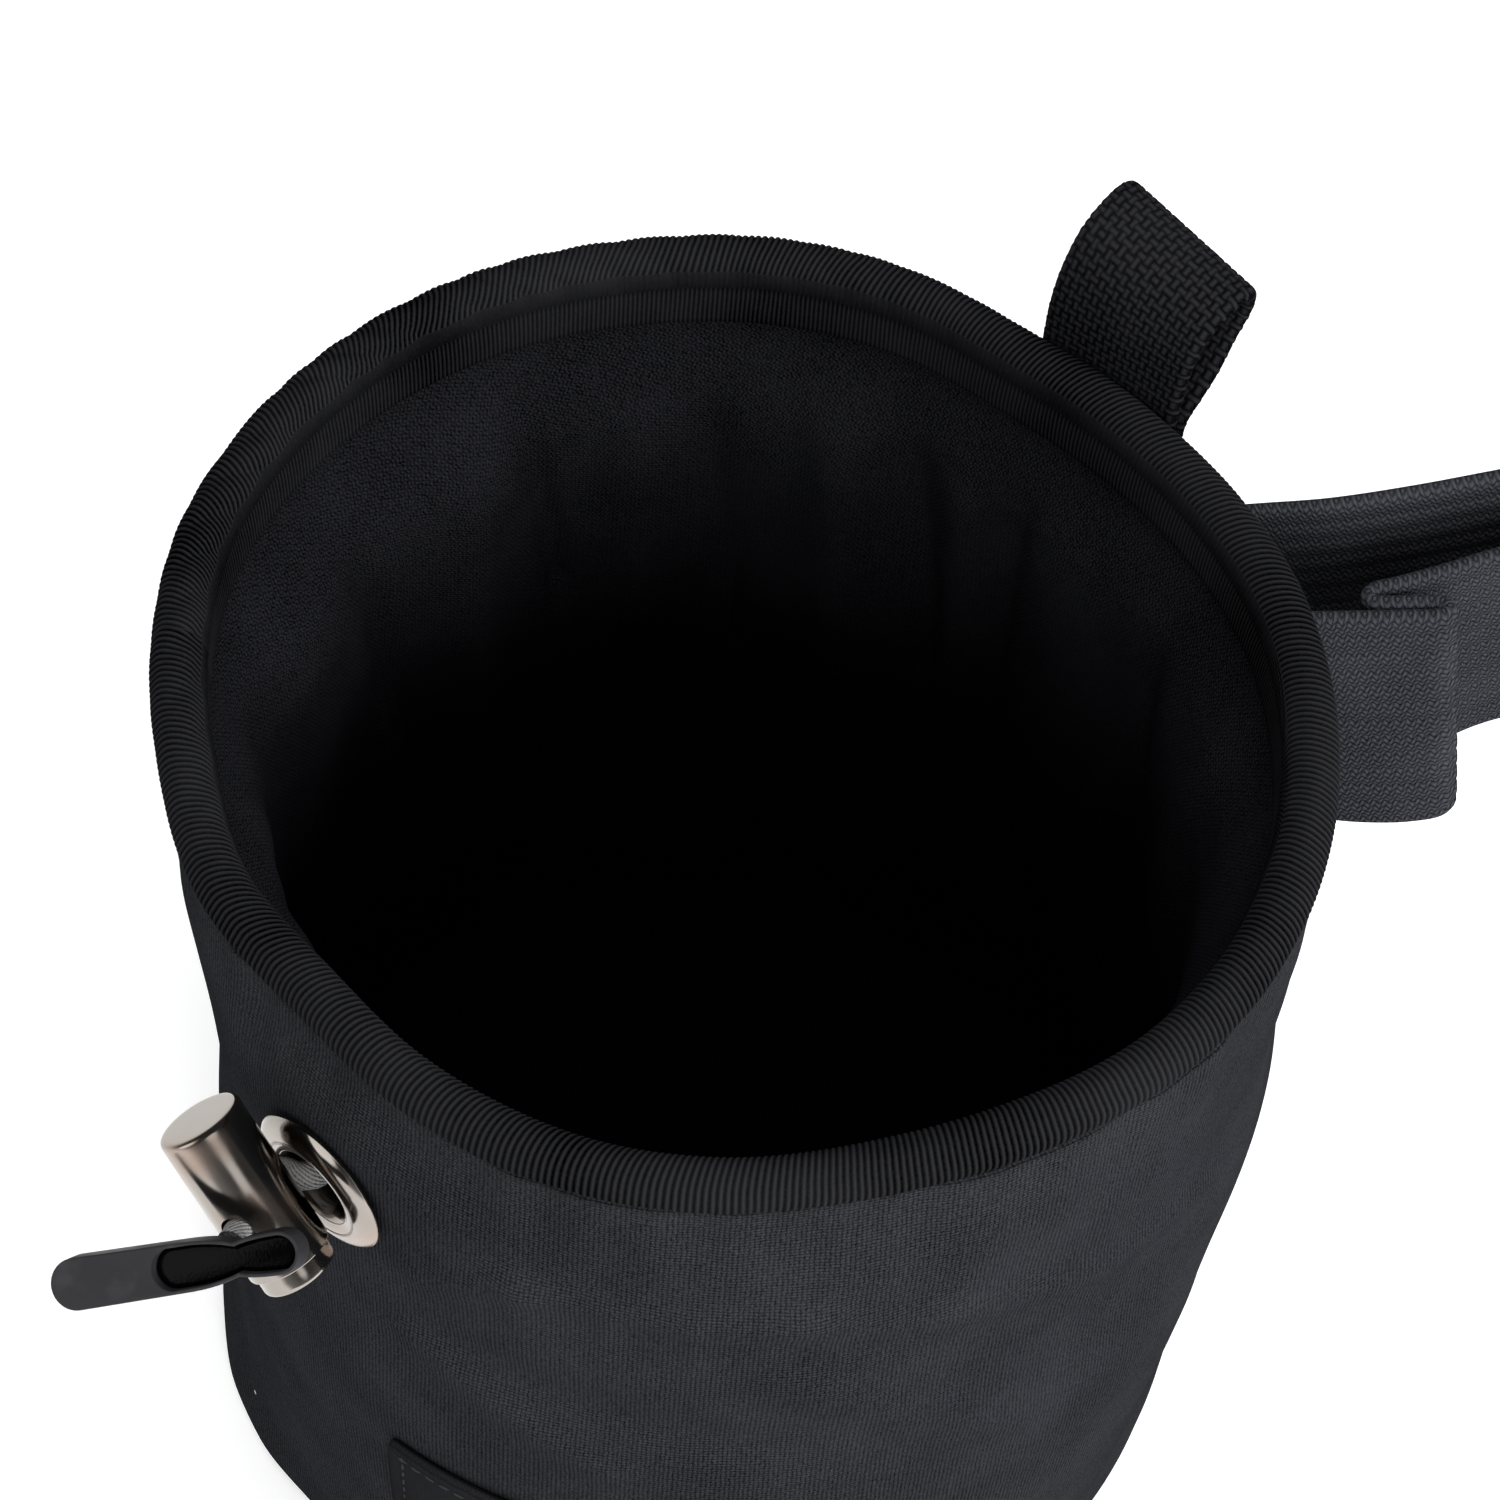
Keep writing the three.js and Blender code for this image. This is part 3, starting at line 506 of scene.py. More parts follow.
def lathe_object(
    name: str, rows: list[tuple[float, float]], place: Vector, axis: Vector, steps: int = 96
) -> bpy.types.Object:
    """Turns a profile round an axis.

    Args:
        name: The object's name.
        rows: Radius and place along the axis, closed on itself or ended on the axis.
        place: Where the axis starts.
        axis: The direction along which places grow.
        steps: Points round the axis.

    Returns:
        The object.
    """
    turn = Vector((0, 0, 1)).rotation_difference(axis)
    work = bmesh.new()
    rings = []
    for radius, along in rows:
        if radius < 1e-9:
            rings.append([work.verts.new(place + turn @ Vector((0, 0, along)))] * steps)
            continue
        ring = []
        for step in range(steps):
            angle = TURN * step / steps
            point = Vector((radius * math.cos(angle), radius * math.sin(angle), along))
            ring.append(work.verts.new(place + turn @ point))
        rings.append(ring)
    for lower, upper in zip(rings, rings[1:]):
        for step in range(steps):
            after = (step + 1) % steps
            corners = dict.fromkeys([lower[step], lower[after], upper[after], upper[step]])
            work.faces.new(list(corners))
    bmesh.ops.remove_doubles(work, verts=work.verts[:], dist=1e-7)
    bmesh.ops.recalc_face_normals(work, faces=work.faces[:])
    mesh = bpy.data.meshes.new(name)
    work.to_mesh(mesh)
    work.free()
    mesh.shade_smooth()
    return make_object(name, mesh)


def rounded(
    rows: list[tuple[float, float]], radii: list[float], steps: int = 6
) -> list[tuple[float, float]]:
    """Rounds the corners of a profile.

    Args:
        rows: The corners.
        radii: How far from each corner its rounding starts, 0 for a sharp one.
        steps: Points in each rounding.

    Returns:
        The profile with its roundings.
    """
    finished = []
    for index, (corner, radius) in enumerate(zip(rows, radii)):
        if radius == 0 or index in (0, len(rows) - 1):
            finished.append(corner)
            continue
        here = Vector(corner)
        before = (Vector(rows[index - 1]) - here).normalized() * radius
        after = (Vector(rows[index + 1]) - here).normalized() * radius
        for step in range(steps + 1):
            share = step / steps
            point = here + before * (1 - share) ** 2 + after * share**2
            finished.append((point.x, point.y))
    return finished


def smooth_line(points: np.ndarray, samples: int) -> np.ndarray:
    """Runs a centripetal curve through points.

    Args:
        points: The points, as rows.
        samples: How many points to return, at equal distances along the curve.

    Returns:
        The points of the curve.
    """
    padded = np.vstack([2 * points[0] - points[1], points, 2 * points[-1] - points[-2]])
    dense = []
    for index in range(1, len(padded) - 2):
        p0, p1, p2, p3 = padded[index - 1 : index + 3]
        t01 = math.sqrt(np.linalg.norm(p1 - p0))
        t12 = math.sqrt(np.linalg.norm(p2 - p1))
        t23 = math.sqrt(np.linalg.norm(p3 - p2))
        m1 = p2 - p1 + t12 * ((p1 - p0) / t01 - (p2 - p0) / (t01 + t12))
        m2 = p2 - p1 + t12 * ((p3 - p2) / t23 - (p3 - p1) / (t12 + t23))
        share = np.linspace(0, 1, 60, endpoint=False)[:, None]
        square, cube = share**2, share**3
        dense.append(
            (2 * cube - 3 * square + 1) * p1 + (cube - 2 * square + share) * m1
            + (3 * square - 2 * cube) * p2 + (cube - square) * m2
        )
    dense.append(points[-1:])
    line = np.vstack(dense)
    lengths = np.concatenate([[0], np.cumsum(np.linalg.norm(np.diff(line, axis=0), axis=1))])
    places = np.linspace(0, lengths[-1], samples)
    return np.stack([np.interp(places, lengths, line[:, axis]) for axis in range(line.shape[1])], 1)


@dataclass
class NodeSheet:
    """Adds nodes to a shader or geometry tree and joins them in one call.

    Attributes:
        tree: The tree that the nodes go into.
    """

    tree: bpy.types.NodeTree

    def add(
        self, kind: str, inputs: dict[str | int, object] | None = None, **settings: object
    ) -> bpy.types.Node:
        """Adds a node.

        Args:
            kind: The node's type.
            inputs: Sockets or plain values by input name or number.
            **settings: The node's own properties.

        Returns:
            The node.
        """
        node = self.tree.nodes.new(kind)
        for name, value in settings.items():
            setattr(node, name, value)
        for key, value in (inputs or {}).items():
            if isinstance(value, bpy.types.NodeSocket):
                self.tree.links.new(value, node.inputs[key])
            else:
                node.inputs[key].default_value = value
        return node

    def math(self, operation: str, first: object, second: object = 0.0) -> bpy.types.NodeSocket:
        """Adds a Math node and returns its result."""
        return self.add("ShaderNodeMath", {0: first, 1: second}, operation=operation).outputs[0]

    def ramp(
        self, value: object, low: float, high: float, to_low: float = 0.0, to_high: float = 1.0
    ) -> bpy.types.NodeSocket:
        """Adds a smooth Map Range and returns its result."""
        return self.add(
            "ShaderNodeMapRange",
            {0: value, 1: low, 2: high, 3: to_low, 4: to_high},
            interpolation_type="SMOOTHSTEP",
        ).outputs[0]

    def mix(self, factor: object, first: object, second: object) -> bpy.types.NodeSocket:
        """Mixes two colours and returns the result.

        Args:
            factor: Share of the second colour.
            first: The colour at 0.
            second: The colour at 1.

        Returns:
            The mixed colour.
        """
        node = self.add("ShaderNodeMix", data_type="RGBA")
        for key, value in ((0, factor), (6, first), (7, second)):
            if isinstance(value, bpy.types.NodeSocket):
                self.tree.links.new(value, node.inputs[key])
            else:
                node.inputs[key].default_value = value
        return node.outputs[2]


def new_group(
    name: str, inputs: dict[str, object], outputs: dict[str, str]
) -> tuple[bpy.types.NodeTree, NodeSheet, dict]:
    """Starts a shader group with named sockets.

    Args:
        name: The group's name.
        inputs: Default value of each input; a triple makes a vector, a number a float.
        outputs: Socket type of each output.

    Returns:
        The group, its sheet, and its input sockets by name.
    """
    group = bpy.data.node_groups.new(name, "ShaderNodeTree")
    for label, value in inputs.items():
        kind = "NodeSocketVector" if isinstance(value, tuple) else "NodeSocketFloat"
        socket = group.interface.new_socket(name=label, in_out="INPUT", socket_type=kind)
        socket.default_value = value
    for label, kind in outputs.items():
        group.interface.new_socket(name=label, in_out="OUTPUT", socket_type=kind)
    sheet = NodeSheet(group)
    start = sheet.add("NodeGroupInput")
    return group, sheet, {label: start.outputs[label] for label in inputs}


def end_group(sheet: NodeSheet, outputs: dict[str, bpy.types.NodeSocket]) -> None:
    """Joins a group's results to its outputs."""
    end = sheet.add("NodeGroupOutput")
    for label, socket in outputs.items():
        sheet.tree.links.new(socket, end.inputs[label])


def make_weave_group() -> bpy.types.NodeTree:
    """Makes the plain weave: threads over and under each other on a UV map in millimetres.

    Returns:
        The group.
    """
    group, sheet, given = new_group(
        "plain_weave",
        {"Place": (0.0, 0.0, 0.0), "Pitch": 0.4, "Slub": 0.15},
        {"Height": "NodeSocketFloat", "Tone": "NodeSocketFloat"},
    )
    noise = sheet.add("ShaderNodeTexNoise", {"Vector": given["Place"], "Scale": 0.8, "Detail": 3.0})
    drift = sheet.math("MULTIPLY", sheet.math("SUBTRACT", noise.outputs[0], 0.5), given["Slub"])
    split = sheet.add("ShaderNodeSeparateXYZ", {0: given["Place"]})
    x = sheet.math("ADD", sheet.math("DIVIDE", split.outputs[0], given["Pitch"]), drift)
    y = sheet.math("ADD", sheet.math("DIVIDE", split.outputs[1], given["Pitch"]), drift)
    cell = sheet.math("ADD", sheet.math("FLOOR", x), sheet.math("FLOOR", y))
    pairs = sheet.math("MULTIPLY", sheet.math("FLOOR", sheet.math("MULTIPLY", cell, 0.5)), 2.0)
    over = sheet.math("ABSOLUTE", sheet.math("SUBTRACT", cell, pairs))
    wave_x = sheet.math("ABSOLUTE", sheet.math("SINE", sheet.math("MULTIPLY", x, math.pi)))
    wave_y = sheet.math("ABSOLUTE", sheet.math("SINE", sheet.math("MULTIPLY", y, math.pi)))
    warp = sheet.math("MULTIPLY", wave_x, sheet.math("ADD", sheet.math("MULTIPLY", wave_y, 0.5), 0.5))
    weft = sheet.math("MULTIPLY", wave_y, sheet.math("ADD", sheet.math("MULTIPLY", wave_x, 0.5), 0.5))
    kept = sheet.math("MULTIPLY", warp, over)
    other = sheet.math("MULTIPLY", weft, sheet.math("SUBTRACT", 1.0, over))
    height = sheet.math("ADD", kept, other)
    fibre = sheet.add("ShaderNodeTexNoise", {"Vector": given["Place"], "Scale": 9.0, "Detail": 2.0})
    # Painted shade: the tone follows the thread height, so the gaps between threads come out darker.
    tone = sheet.math(
        "ADD", sheet.math("MULTIPLY", height, 0.7), sheet.math("MULTIPLY", fibre.outputs[0], 0.3)
    )
    end_group(sheet, {"Height": height, "Tone": tone})
    return group


def make_rib_group() -> bpy.types.NodeTree:
    """Makes straight ribs across a tape, slanted by a lean, with fine threads along them.

    Returns:
        The group.
    """
    group, sheet, given = new_group(
        "ribs",
        {"Place": (0.0, 0.0, 0.0), "Pitch": 0.7, "Lean": 0.0, "Thread": 0.22},
        {"Height": "NodeSocketFloat", "Tone": "NodeSocketFloat"},
    )
    split = sheet.add("ShaderNodeSeparateXYZ", {0: given["Place"]})
    leaned = sheet.math("ADD", split.outputs[0], sheet.math("MULTIPLY", split.outputs[1], given["Lean"]))
    phase = sheet.math("MULTIPLY", sheet.math("DIVIDE", leaned, given["Pitch"]), math.pi)
    rib = sheet.math("ABSOLUTE", sheet.math("SINE", phase))
    thread = sheet.math("MULTIPLY", sheet.math("DIVIDE", split.outputs[1], given["Thread"]), TURN)
    threads = sheet.math("SINE", thread)
    fine = sheet.math("ADD", sheet.math("MULTIPLY", threads, 0.5), 0.5)
    height = sheet.math("ADD", sheet.math("MULTIPLY", rib, 0.8), sheet.math("MULTIPLY", fine, 0.2))
    # Painted shade: the tone is the rib height, so the grooves between ribs come out darker.
    end_group(sheet, {"Height": height, "Tone": height})
    return group


def make_knit_group() -> bpy.types.NodeTree:
    """Makes the elastic's knit: slanted columns of small stitches on a UV map in millimetres.

    Returns:
        The group.
    """
    group, sheet, given = new_group(
        "elastic_knit",
        {"Place": (0.0, 0.0, 0.0), "Column": 0.78, "Stitch": 0.62, "Zigzag": 0.3},
        {"Height": "NodeSocketFloat", "Tone": "NodeSocketFloat"},
    )
    split = sheet.add("ShaderNodeSeparateXYZ", {0: given["Place"]})
    y = sheet.math("DIVIDE", split.outputs[1], given["Stitch"])
    swing = sheet.math("MULTIPLY", sheet.math("SINE", sheet.math("MULTIPLY", y, math.pi)), given["Zigzag"])
    x = sheet.math("ADD", sheet.math("DIVIDE", split.outputs[0], given["Column"]), swing)
    column = sheet.math("ABSOLUTE", sheet.math("SINE", sheet.math("MULTIPLY", x, math.pi)))
    slant = sheet.math("ADD", y, sheet.math("MULTIPLY", x, 0.5))
    stitch = sheet.math("ABSOLUTE", sheet.math("SINE", sheet.math("MULTIPLY", slant, math.pi)))
    height = sheet.math(
        "MULTIPLY", sheet.math("POWER", column, 0.6),
        sheet.math("ADD", sheet.math("MULTIPLY", stitch, 0.65), 0.35)
    )
    fibre = sheet.add("ShaderNodeTexNoise", {"Vector": given["Place"], "Scale": 6.0, "Detail": 2.0})
    # Painted shade: the tone follows the stitch height, so the gaps between stitches come out darker.
    tone = sheet.math(
        "ADD", sheet.math("MULTIPLY", height, 0.8), sheet.math("MULTIPLY", fibre.outputs[0], 0.2)
    )
    end_group(sheet, {"Height": height, "Tone": tone})
    return group


def make_patina_group() -> bpy.types.NodeTree:
    """Makes the slow mottling and the rare pale lint that every cloth here carries.

    Returns:
        The group.
    """
    group, sheet, given = new_group(
        "patina",
        {"Place": (0.0, 0.0, 0.0), "Scale": 60.0, "Lint": 0.0},
        {"Mottle": "NodeSocketFloat", "Speck": "NodeSocketFloat", "Grain": "NodeSocketFloat"},
    )
    slow = sheet.add(
        "ShaderNodeTexNoise",
        {"Vector": given["Place"], "Scale": given["Scale"], "Detail": 5.0, "Roughness": 0.6}
    )
    cells = sheet.add("ShaderNodeTexVoronoi", {"Vector": given["Place"], "Scale": 420.0})
    near = sheet.math("LESS_THAN", cells.outputs["Distance"], 0.13)
    rare = sheet.add("ShaderNodeTexWhiteNoise", {"Vector": cells.outputs["Position"]}, noise_dimensions="3D")
    chosen = sheet.math("LESS_THAN", rare.outputs[0], given["Lint"])
    fine = sheet.add(
        "ShaderNodeTexNoise",
        {"Vector": given["Place"], "Scale": 3200.0, "Detail": 2.0, "Roughness": 0.7}
    )
    grain = sheet.math("SUBTRACT", fine.outputs[0], 0.5)
    end_group(
        sheet, {"Mottle": slow.outputs[0], "Speck": sheet.math("MULTIPLY", near, chosen), "Grain": grain}
    )
    return group


def make_crest_highlight_group() -> bpy.types.NodeTree:
    """Makes the painted highlight of the raised threads, light on each crest and dark between, from the
    piece's own attributes.

    Returns:
        The group.
    """
    group, sheet, given = new_group(
        "thread_crests",
        {"Weft": 0.0, "Warp": 0.0, "Over": 1.0, "Sharpness": 2.0},
        {"Tone": "NodeSocketFloat"},
    )

    def crest(phase: bpy.types.NodeSocket) -> bpy.types.NodeSocket:
        """Returns the painted highlight line on top of each thread."""
        wave = sheet.math("ABSOLUTE", sheet.math("SINE", sheet.math("MULTIPLY", phase, math.pi)))
        return sheet.math("POWER", wave, given["Sharpness"])

    weft = sheet.math("MULTIPLY", crest(given["Weft"]), given["Over"])
    warp = sheet.math("MULTIPLY", crest(given["Warp"]), sheet.math("SUBTRACT", 1.0, given["Over"]))
    end_group(sheet, {"Tone": sheet.math("ADD", weft, warp)})
    return group


class Texture(Enum):
    """Which surface structure a cloth finish carries."""

    WEAVE = "plain_weave"
    RIBS = "ribs"
    KNIT = "elastic_knit"


GROUP_MAKERS = {
    Texture.WEAVE: make_weave_group,
    Texture.RIBS: make_rib_group,
    Texture.KNIT: make_knit_group,
}


def shared_group(name: str, maker: object) -> bpy.types.NodeTree:
    """Returns the shader group of a name, made at its first use."""
    return bpy.data.node_groups.get(name) or maker()


@dataclass(frozen=True)
class ClothFinish:
    """A cloth: its colours and the structure of its threads.

    Attributes:
        name: The material's name.
        dark: Colour in the gaps between threads, darker there as painted shade.
        light: Colour on the threads.
        texture: The thread structure.
        settings: The group's own values.
        bump: Depth of the threads in metres.
        roughness: Roughness of the threads.
        gloss: Strength of the mirror-like part.
        lint: Share of cells that hold a pale speck of lint.
        mottle: How much the tone drifts over the piece.
        grain: How much the tone jumps from fibre to fibre.
        crest: Sharpness of the painted highlight lines on raised threads, or 0 without them.
        depth: Length over which the tone falls from the mouth downwards, painted shade inside the bag, or 0
            without it.
    """

    name: str
    dark: tuple[float, float, float]
    light: tuple[float, float, float]
    texture: Texture
    settings: dict[str, float]
    bump: float
    roughness: float = 0.85
    gloss: float = 0.0
    lint: float = 0.0
    mottle: float = 0.3
    grain: float = 0.6
    crest: float = 0.0
    depth: float = 0.0

    def make(self) -> bpy.types.Material:
        """Builds the material.

        Returns:
            The material.
        """
        material = bpy.data.materials.new(self.name)
        material.use_nodes = True
        sheet = NodeSheet(material.node_tree)
        shader = material.node_tree.nodes["Principled BSDF"]
        place = sheet.add("ShaderNodeUVMap", uv_map="cloth").outputs[0]
        threads = sheet.add(
            "ShaderNodeGroup", node_tree=shared_group(self.texture.value, GROUP_MAKERS[self.texture])
        )
        sheet.tree.links.new(place, threads.inputs["Place"])
        for label, value in self.settings.items():
            threads.inputs[label].default_value = value
        patina = sheet.add("ShaderNodeGroup", node_tree=shared_group("patina", make_patina_group))
        coordinates = sheet.add("ShaderNodeTexCoord")
        sheet.tree.links.new(coordinates.outputs["Object"], patina.inputs["Place"])
        patina.inputs["Lint"].default_value = self.lint
        drift = sheet.ramp(patina.outputs["Mottle"], 0.3, 0.7, -self.mottle, self.mottle)
        jump = sheet.math("MULTIPLY", patina.outputs["Grain"], self.grain)
        own = threads.outputs["Tone"]
        # Painted highlight: a light line on each raised thread's crest, darker between them.
        if self.crest > 0:
            crest_highlights = sheet.add("ShaderNodeGroup", node_tree=shared_group("thread_crests", make_crest_highlight_group))
            for label in ("Weft", "Warp", "Over"):
                thread = sheet.add("ShaderNodeAttribute", attribute_name=label.lower())
                sheet.tree.links.new(thread.outputs["Fac"], crest_highlights.inputs[label])
            crest_highlights.inputs["Sharpness"].default_value = self.crest
            raised = sheet.math("MULTIPLY", crest_highlights.outputs[0], CREST_HIGHLIGHT_SHARE)
            own = sheet.math("ADD", sheet.math("MULTIPLY", own, 1 - CREST_HIGHLIGHT_SHARE), raised)
        tone = sheet.math("ADD", sheet.math("ADD", own, drift), jump)
        # Painted shade: the tone falls from just under the mouth downwards, darkening the inside of the bag.
        if self.depth > 0:
            place = sheet.add("ShaderNodeTexCoord").outputs["Object"]
            height = sheet.add("ShaderNodeSeparateXYZ", {0: place}).outputs[2]
            top = FORM.height - 0.022
            tone = sheet.math("MULTIPLY", tone, sheet.ramp(height, top - self.depth, top, 0.12, 1.0))
        # Painted shade: low tone puts the dark colour into the gaps between threads.
        colour = sheet.mix(tone, (*self.dark, 1), (*self.light, 1))
        colour = sheet.mix(patina.outputs["Speck"], colour, (0.5, 0.5, 0.52, 1))
        sheet.tree.links.new(colour, shader.inputs["Base Color"])
        bump = sheet.add(
            "ShaderNodeBump",
            {"Height": threads.outputs["Height"], "Distance": self.bump, "Strength": 1.0}
        )
        sheet.tree.links.new(bump.outputs[0], shader.inputs["Normal"])
        shader.inputs["Roughness"].default_value = self.roughness
        shader.inputs["Specular IOR Level"].default_value = self.gloss
        return material


@dataclass(frozen=True)
class MetalFinish:
    """Polished dark metal with faint handling marks.

    Attributes:
        name: The material's name.
        colour: Its colour.
        roughness: Its roughness.
    """

    name: str
    colour: tuple[float, float, float]
    roughness: float

    def make(self) -> bpy.types.Material:
        """Builds the material.

        Returns:
            The material.
        """
        material = bpy.data.materials.new(self.name)
        material.use_nodes = True
        sheet = NodeSheet(material.node_tree)
        shader = material.node_tree.nodes["Principled BSDF"]
        coordinates = sheet.add("ShaderNodeTexCoord").outputs["Object"]
        marks = sheet.add(
            "ShaderNodeTexNoise",
            {"Vector": coordinates, "Scale": 900.0, "Detail": 4.0, "Roughness": 0.65}
        )
        smear = sheet.add("ShaderNodeTexNoise", {"Vector": coordinates, "Scale": 140.0, "Detail": 2.0})
        rough = sheet.ramp(smear.outputs[0], 0.35, 0.7, self.roughness * 0.75, self.roughness * 1.6)
        sheet.tree.links.new(rough, shader.inputs["Roughness"])
        warm = tuple(value * tint for value, tint in zip(self.colour, (1.12, 0.94, 0.86)))
        colour = sheet.mix(sheet.ramp(smear.outputs[0], 0.4, 0.75), (*self.colour, 1), (*warm, 1))
        sheet.tree.links.new(colour, shader.inputs["Base Color"])
        bump = sheet.add(
            "ShaderNodeBump", {"Height": marks.outputs[0], "Distance": 0.00001, "Strength": 0.35}
        )
        sheet.tree.links.new(bump.outputs[0], shader.inputs["Normal"])
        shader.inputs["Metallic"].default_value = 1.0
        return material


@dataclass(frozen=True)
class RubberFinish:
    """Matt moulded rubber with a fine grain and pale dusty patches.

    Attributes:
        name: The material's name.
        colour: Its colour.
        roughness: Its roughness.
        gloss: Strength of the mirror-like part.
    """

    name: str
    colour: tuple[float, float, float]
    roughness: float
    gloss: float = 0.2

    def make(self) -> bpy.types.Material:
        """Builds the material.

        Returns:
            The material.
        """
        material = bpy.data.materials.new(self.name)
        material.use_nodes = True
        sheet = NodeSheet(material.node_tree)
        shader = material.node_tree.nodes["Principled BSDF"]
        coordinates = sheet.add("ShaderNodeTexCoord").outputs["Object"]
        grain = sheet.add("ShaderNodeTexNoise", {"Vector": coordinates, "Scale": 3000.0, "Detail": 3.0})
        scuff = sheet.add("ShaderNodeTexNoise", {"Vector": coordinates, "Scale": 260.0, "Detail": 4.0})
        pale = tuple(value * 1.7 for value in self.colour)
        colour = sheet.mix(sheet.ramp(scuff.outputs[0], 0.45, 0.75), (*self.colour, 1), (*pale, 1))
        sheet.tree.links.new(colour, shader.inputs["Base Color"])
        rough = sheet.ramp(scuff.outputs[0], 0.3, 0.7, self.roughness * 0.85, self.roughness * 1.15)
        shader.inputs["Specular IOR Level"].default_value = self.gloss
        sheet.tree.links.new(rough, shader.inputs["Roughness"])
        bump = sheet.add(
            "ShaderNodeBump", {"Height": grain.outputs[0], "Distance": 0.00004, "Strength": 0.6}
        )
        sheet.tree.links.new(bump.outputs[0], shader.inputs["Normal"])
        return material


SHELL_CLOTH = ClothFinish(
    "woven_shell", (0.003, 0.0031, 0.0038), (0.033, 0.034, 0.0385), Texture.WEAVE,
    {"Pitch": 0.5, "Slub": 0.6}, 0.00009, lint=0.0003, mottle=0.09, grain=1.6,
)
# The lining's depth setting paints shade that deepens down into the cup.
LINING_CLOTH = ClothFinish(
    "knitted_lining", (0.0003, 0.0003, 0.0004), (0.0125, 0.0127, 0.0155), Texture.KNIT,
    {"Column": 0.5, "Stitch": 0.42, "Zigzag": 0.25}, 0.00009, mottle=0.1, grain=1.8, depth=0.045,
)
# The tape and the webbing carry painted highlights on their thread crests.
BINDING_TAPE = ClothFinish(
    "ribbed_tape", (0.0003, 0.0003, 0.0004), (0.0185, 0.0188, 0.021), Texture.RIBS,
    {"Pitch": 40.0, "Thread": 0.25}, 0.00002, crest=2.6, mottle=0.1, grain=0.4,
)
WEBBING = ClothFinish(
    "loop_webbing", (0.0003, 0.0003, 0.0004), (0.0175, 0.0178, 0.02), Texture.RIBS,
    {"Pitch": 0.22, "Lean": 0.3, "Thread": 0.24}, 0.00002, crest=2.6, mottle=0.1, grain=0.4,
)
ELASTIC = ClothFinish(
    "ribbed_elastic", (0.002, 0.002, 0.0028), (0.052, 0.0535, 0.062), Texture.KNIT,
    {"Column": 0.8, "Stitch": 0.62, "Zigzag": 0.3}, 0.00016, mottle=0.1,
)
LABEL_CLOTH = ClothFinish(
    "label_weave", (0.004, 0.0042, 0.005), (0.02, 0.0205, 0.023), Texture.WEAVE,
    {"Pitch": 0.3, "Slub": 0.3}, 0.00004, mottle=0.1,
)
# The cord is black; the pale colour on its thread tops is painted sheen.
CORD_BRAID = ClothFinish(
    "braided_cord", (0.03, 0.03, 0.03), (0.34, 0.335, 0.33), Texture.RIBS,
    {"Pitch": 0.5, "Lean": 0.8, "Thread": 0.3}, 0.00008, grain=1.2,
)
THREAD = ClothFinish(
    "waxed_thread", (0.01, 0.01, 0.012), (0.06, 0.061, 0.066), Texture.RIBS,
    {"Pitch": 0.3, "Lean": 1.0}, 0.00002,
)
GUNMETAL = MetalFinish("polished_gunmetal", (0.3, 0.275, 0.25), 0.17)
PULL_RUBBER = RubberFinish("moulded_rubber", (0.02, 0.02, 0.022), 0.62)
# Near-black glossy plate in the pull's hollow: painted shade for the hollow's dark inside.
PULL_PAINTED_SHADE = RubberFinish("glossy_rubber", (0.0008, 0.0008, 0.001), 0.16, 0.06)


def dress(piece: bpy.types.Object, finish: ClothFinish | MetalFinish | RubberFinish) -> None:
    """Gives a piece its material.

    Args:
        piece: The piece.
        finish: Its finish, made once.
    """
    material = bpy.data.materials.get(finish.name) or finish.make()
    piece.data.materials.clear()
    piece.data.materials.append(material)


def hand_over(piece: bpy.types.Object, body: Body = Body.BAG, *nodes: str) -> None:
    """Lets a piece ride on its body, stand for CAD nodes, and reports it.

    Args:
        piece: The piece.
        body: The body that it rides on.
        *nodes: CAD nodes that it stands for.
    """
    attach(piece, body.value)
    if nodes:
        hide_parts(*nodes)
    LOG.info("%s: %d faces", piece.name, len(piece.data.polygons))


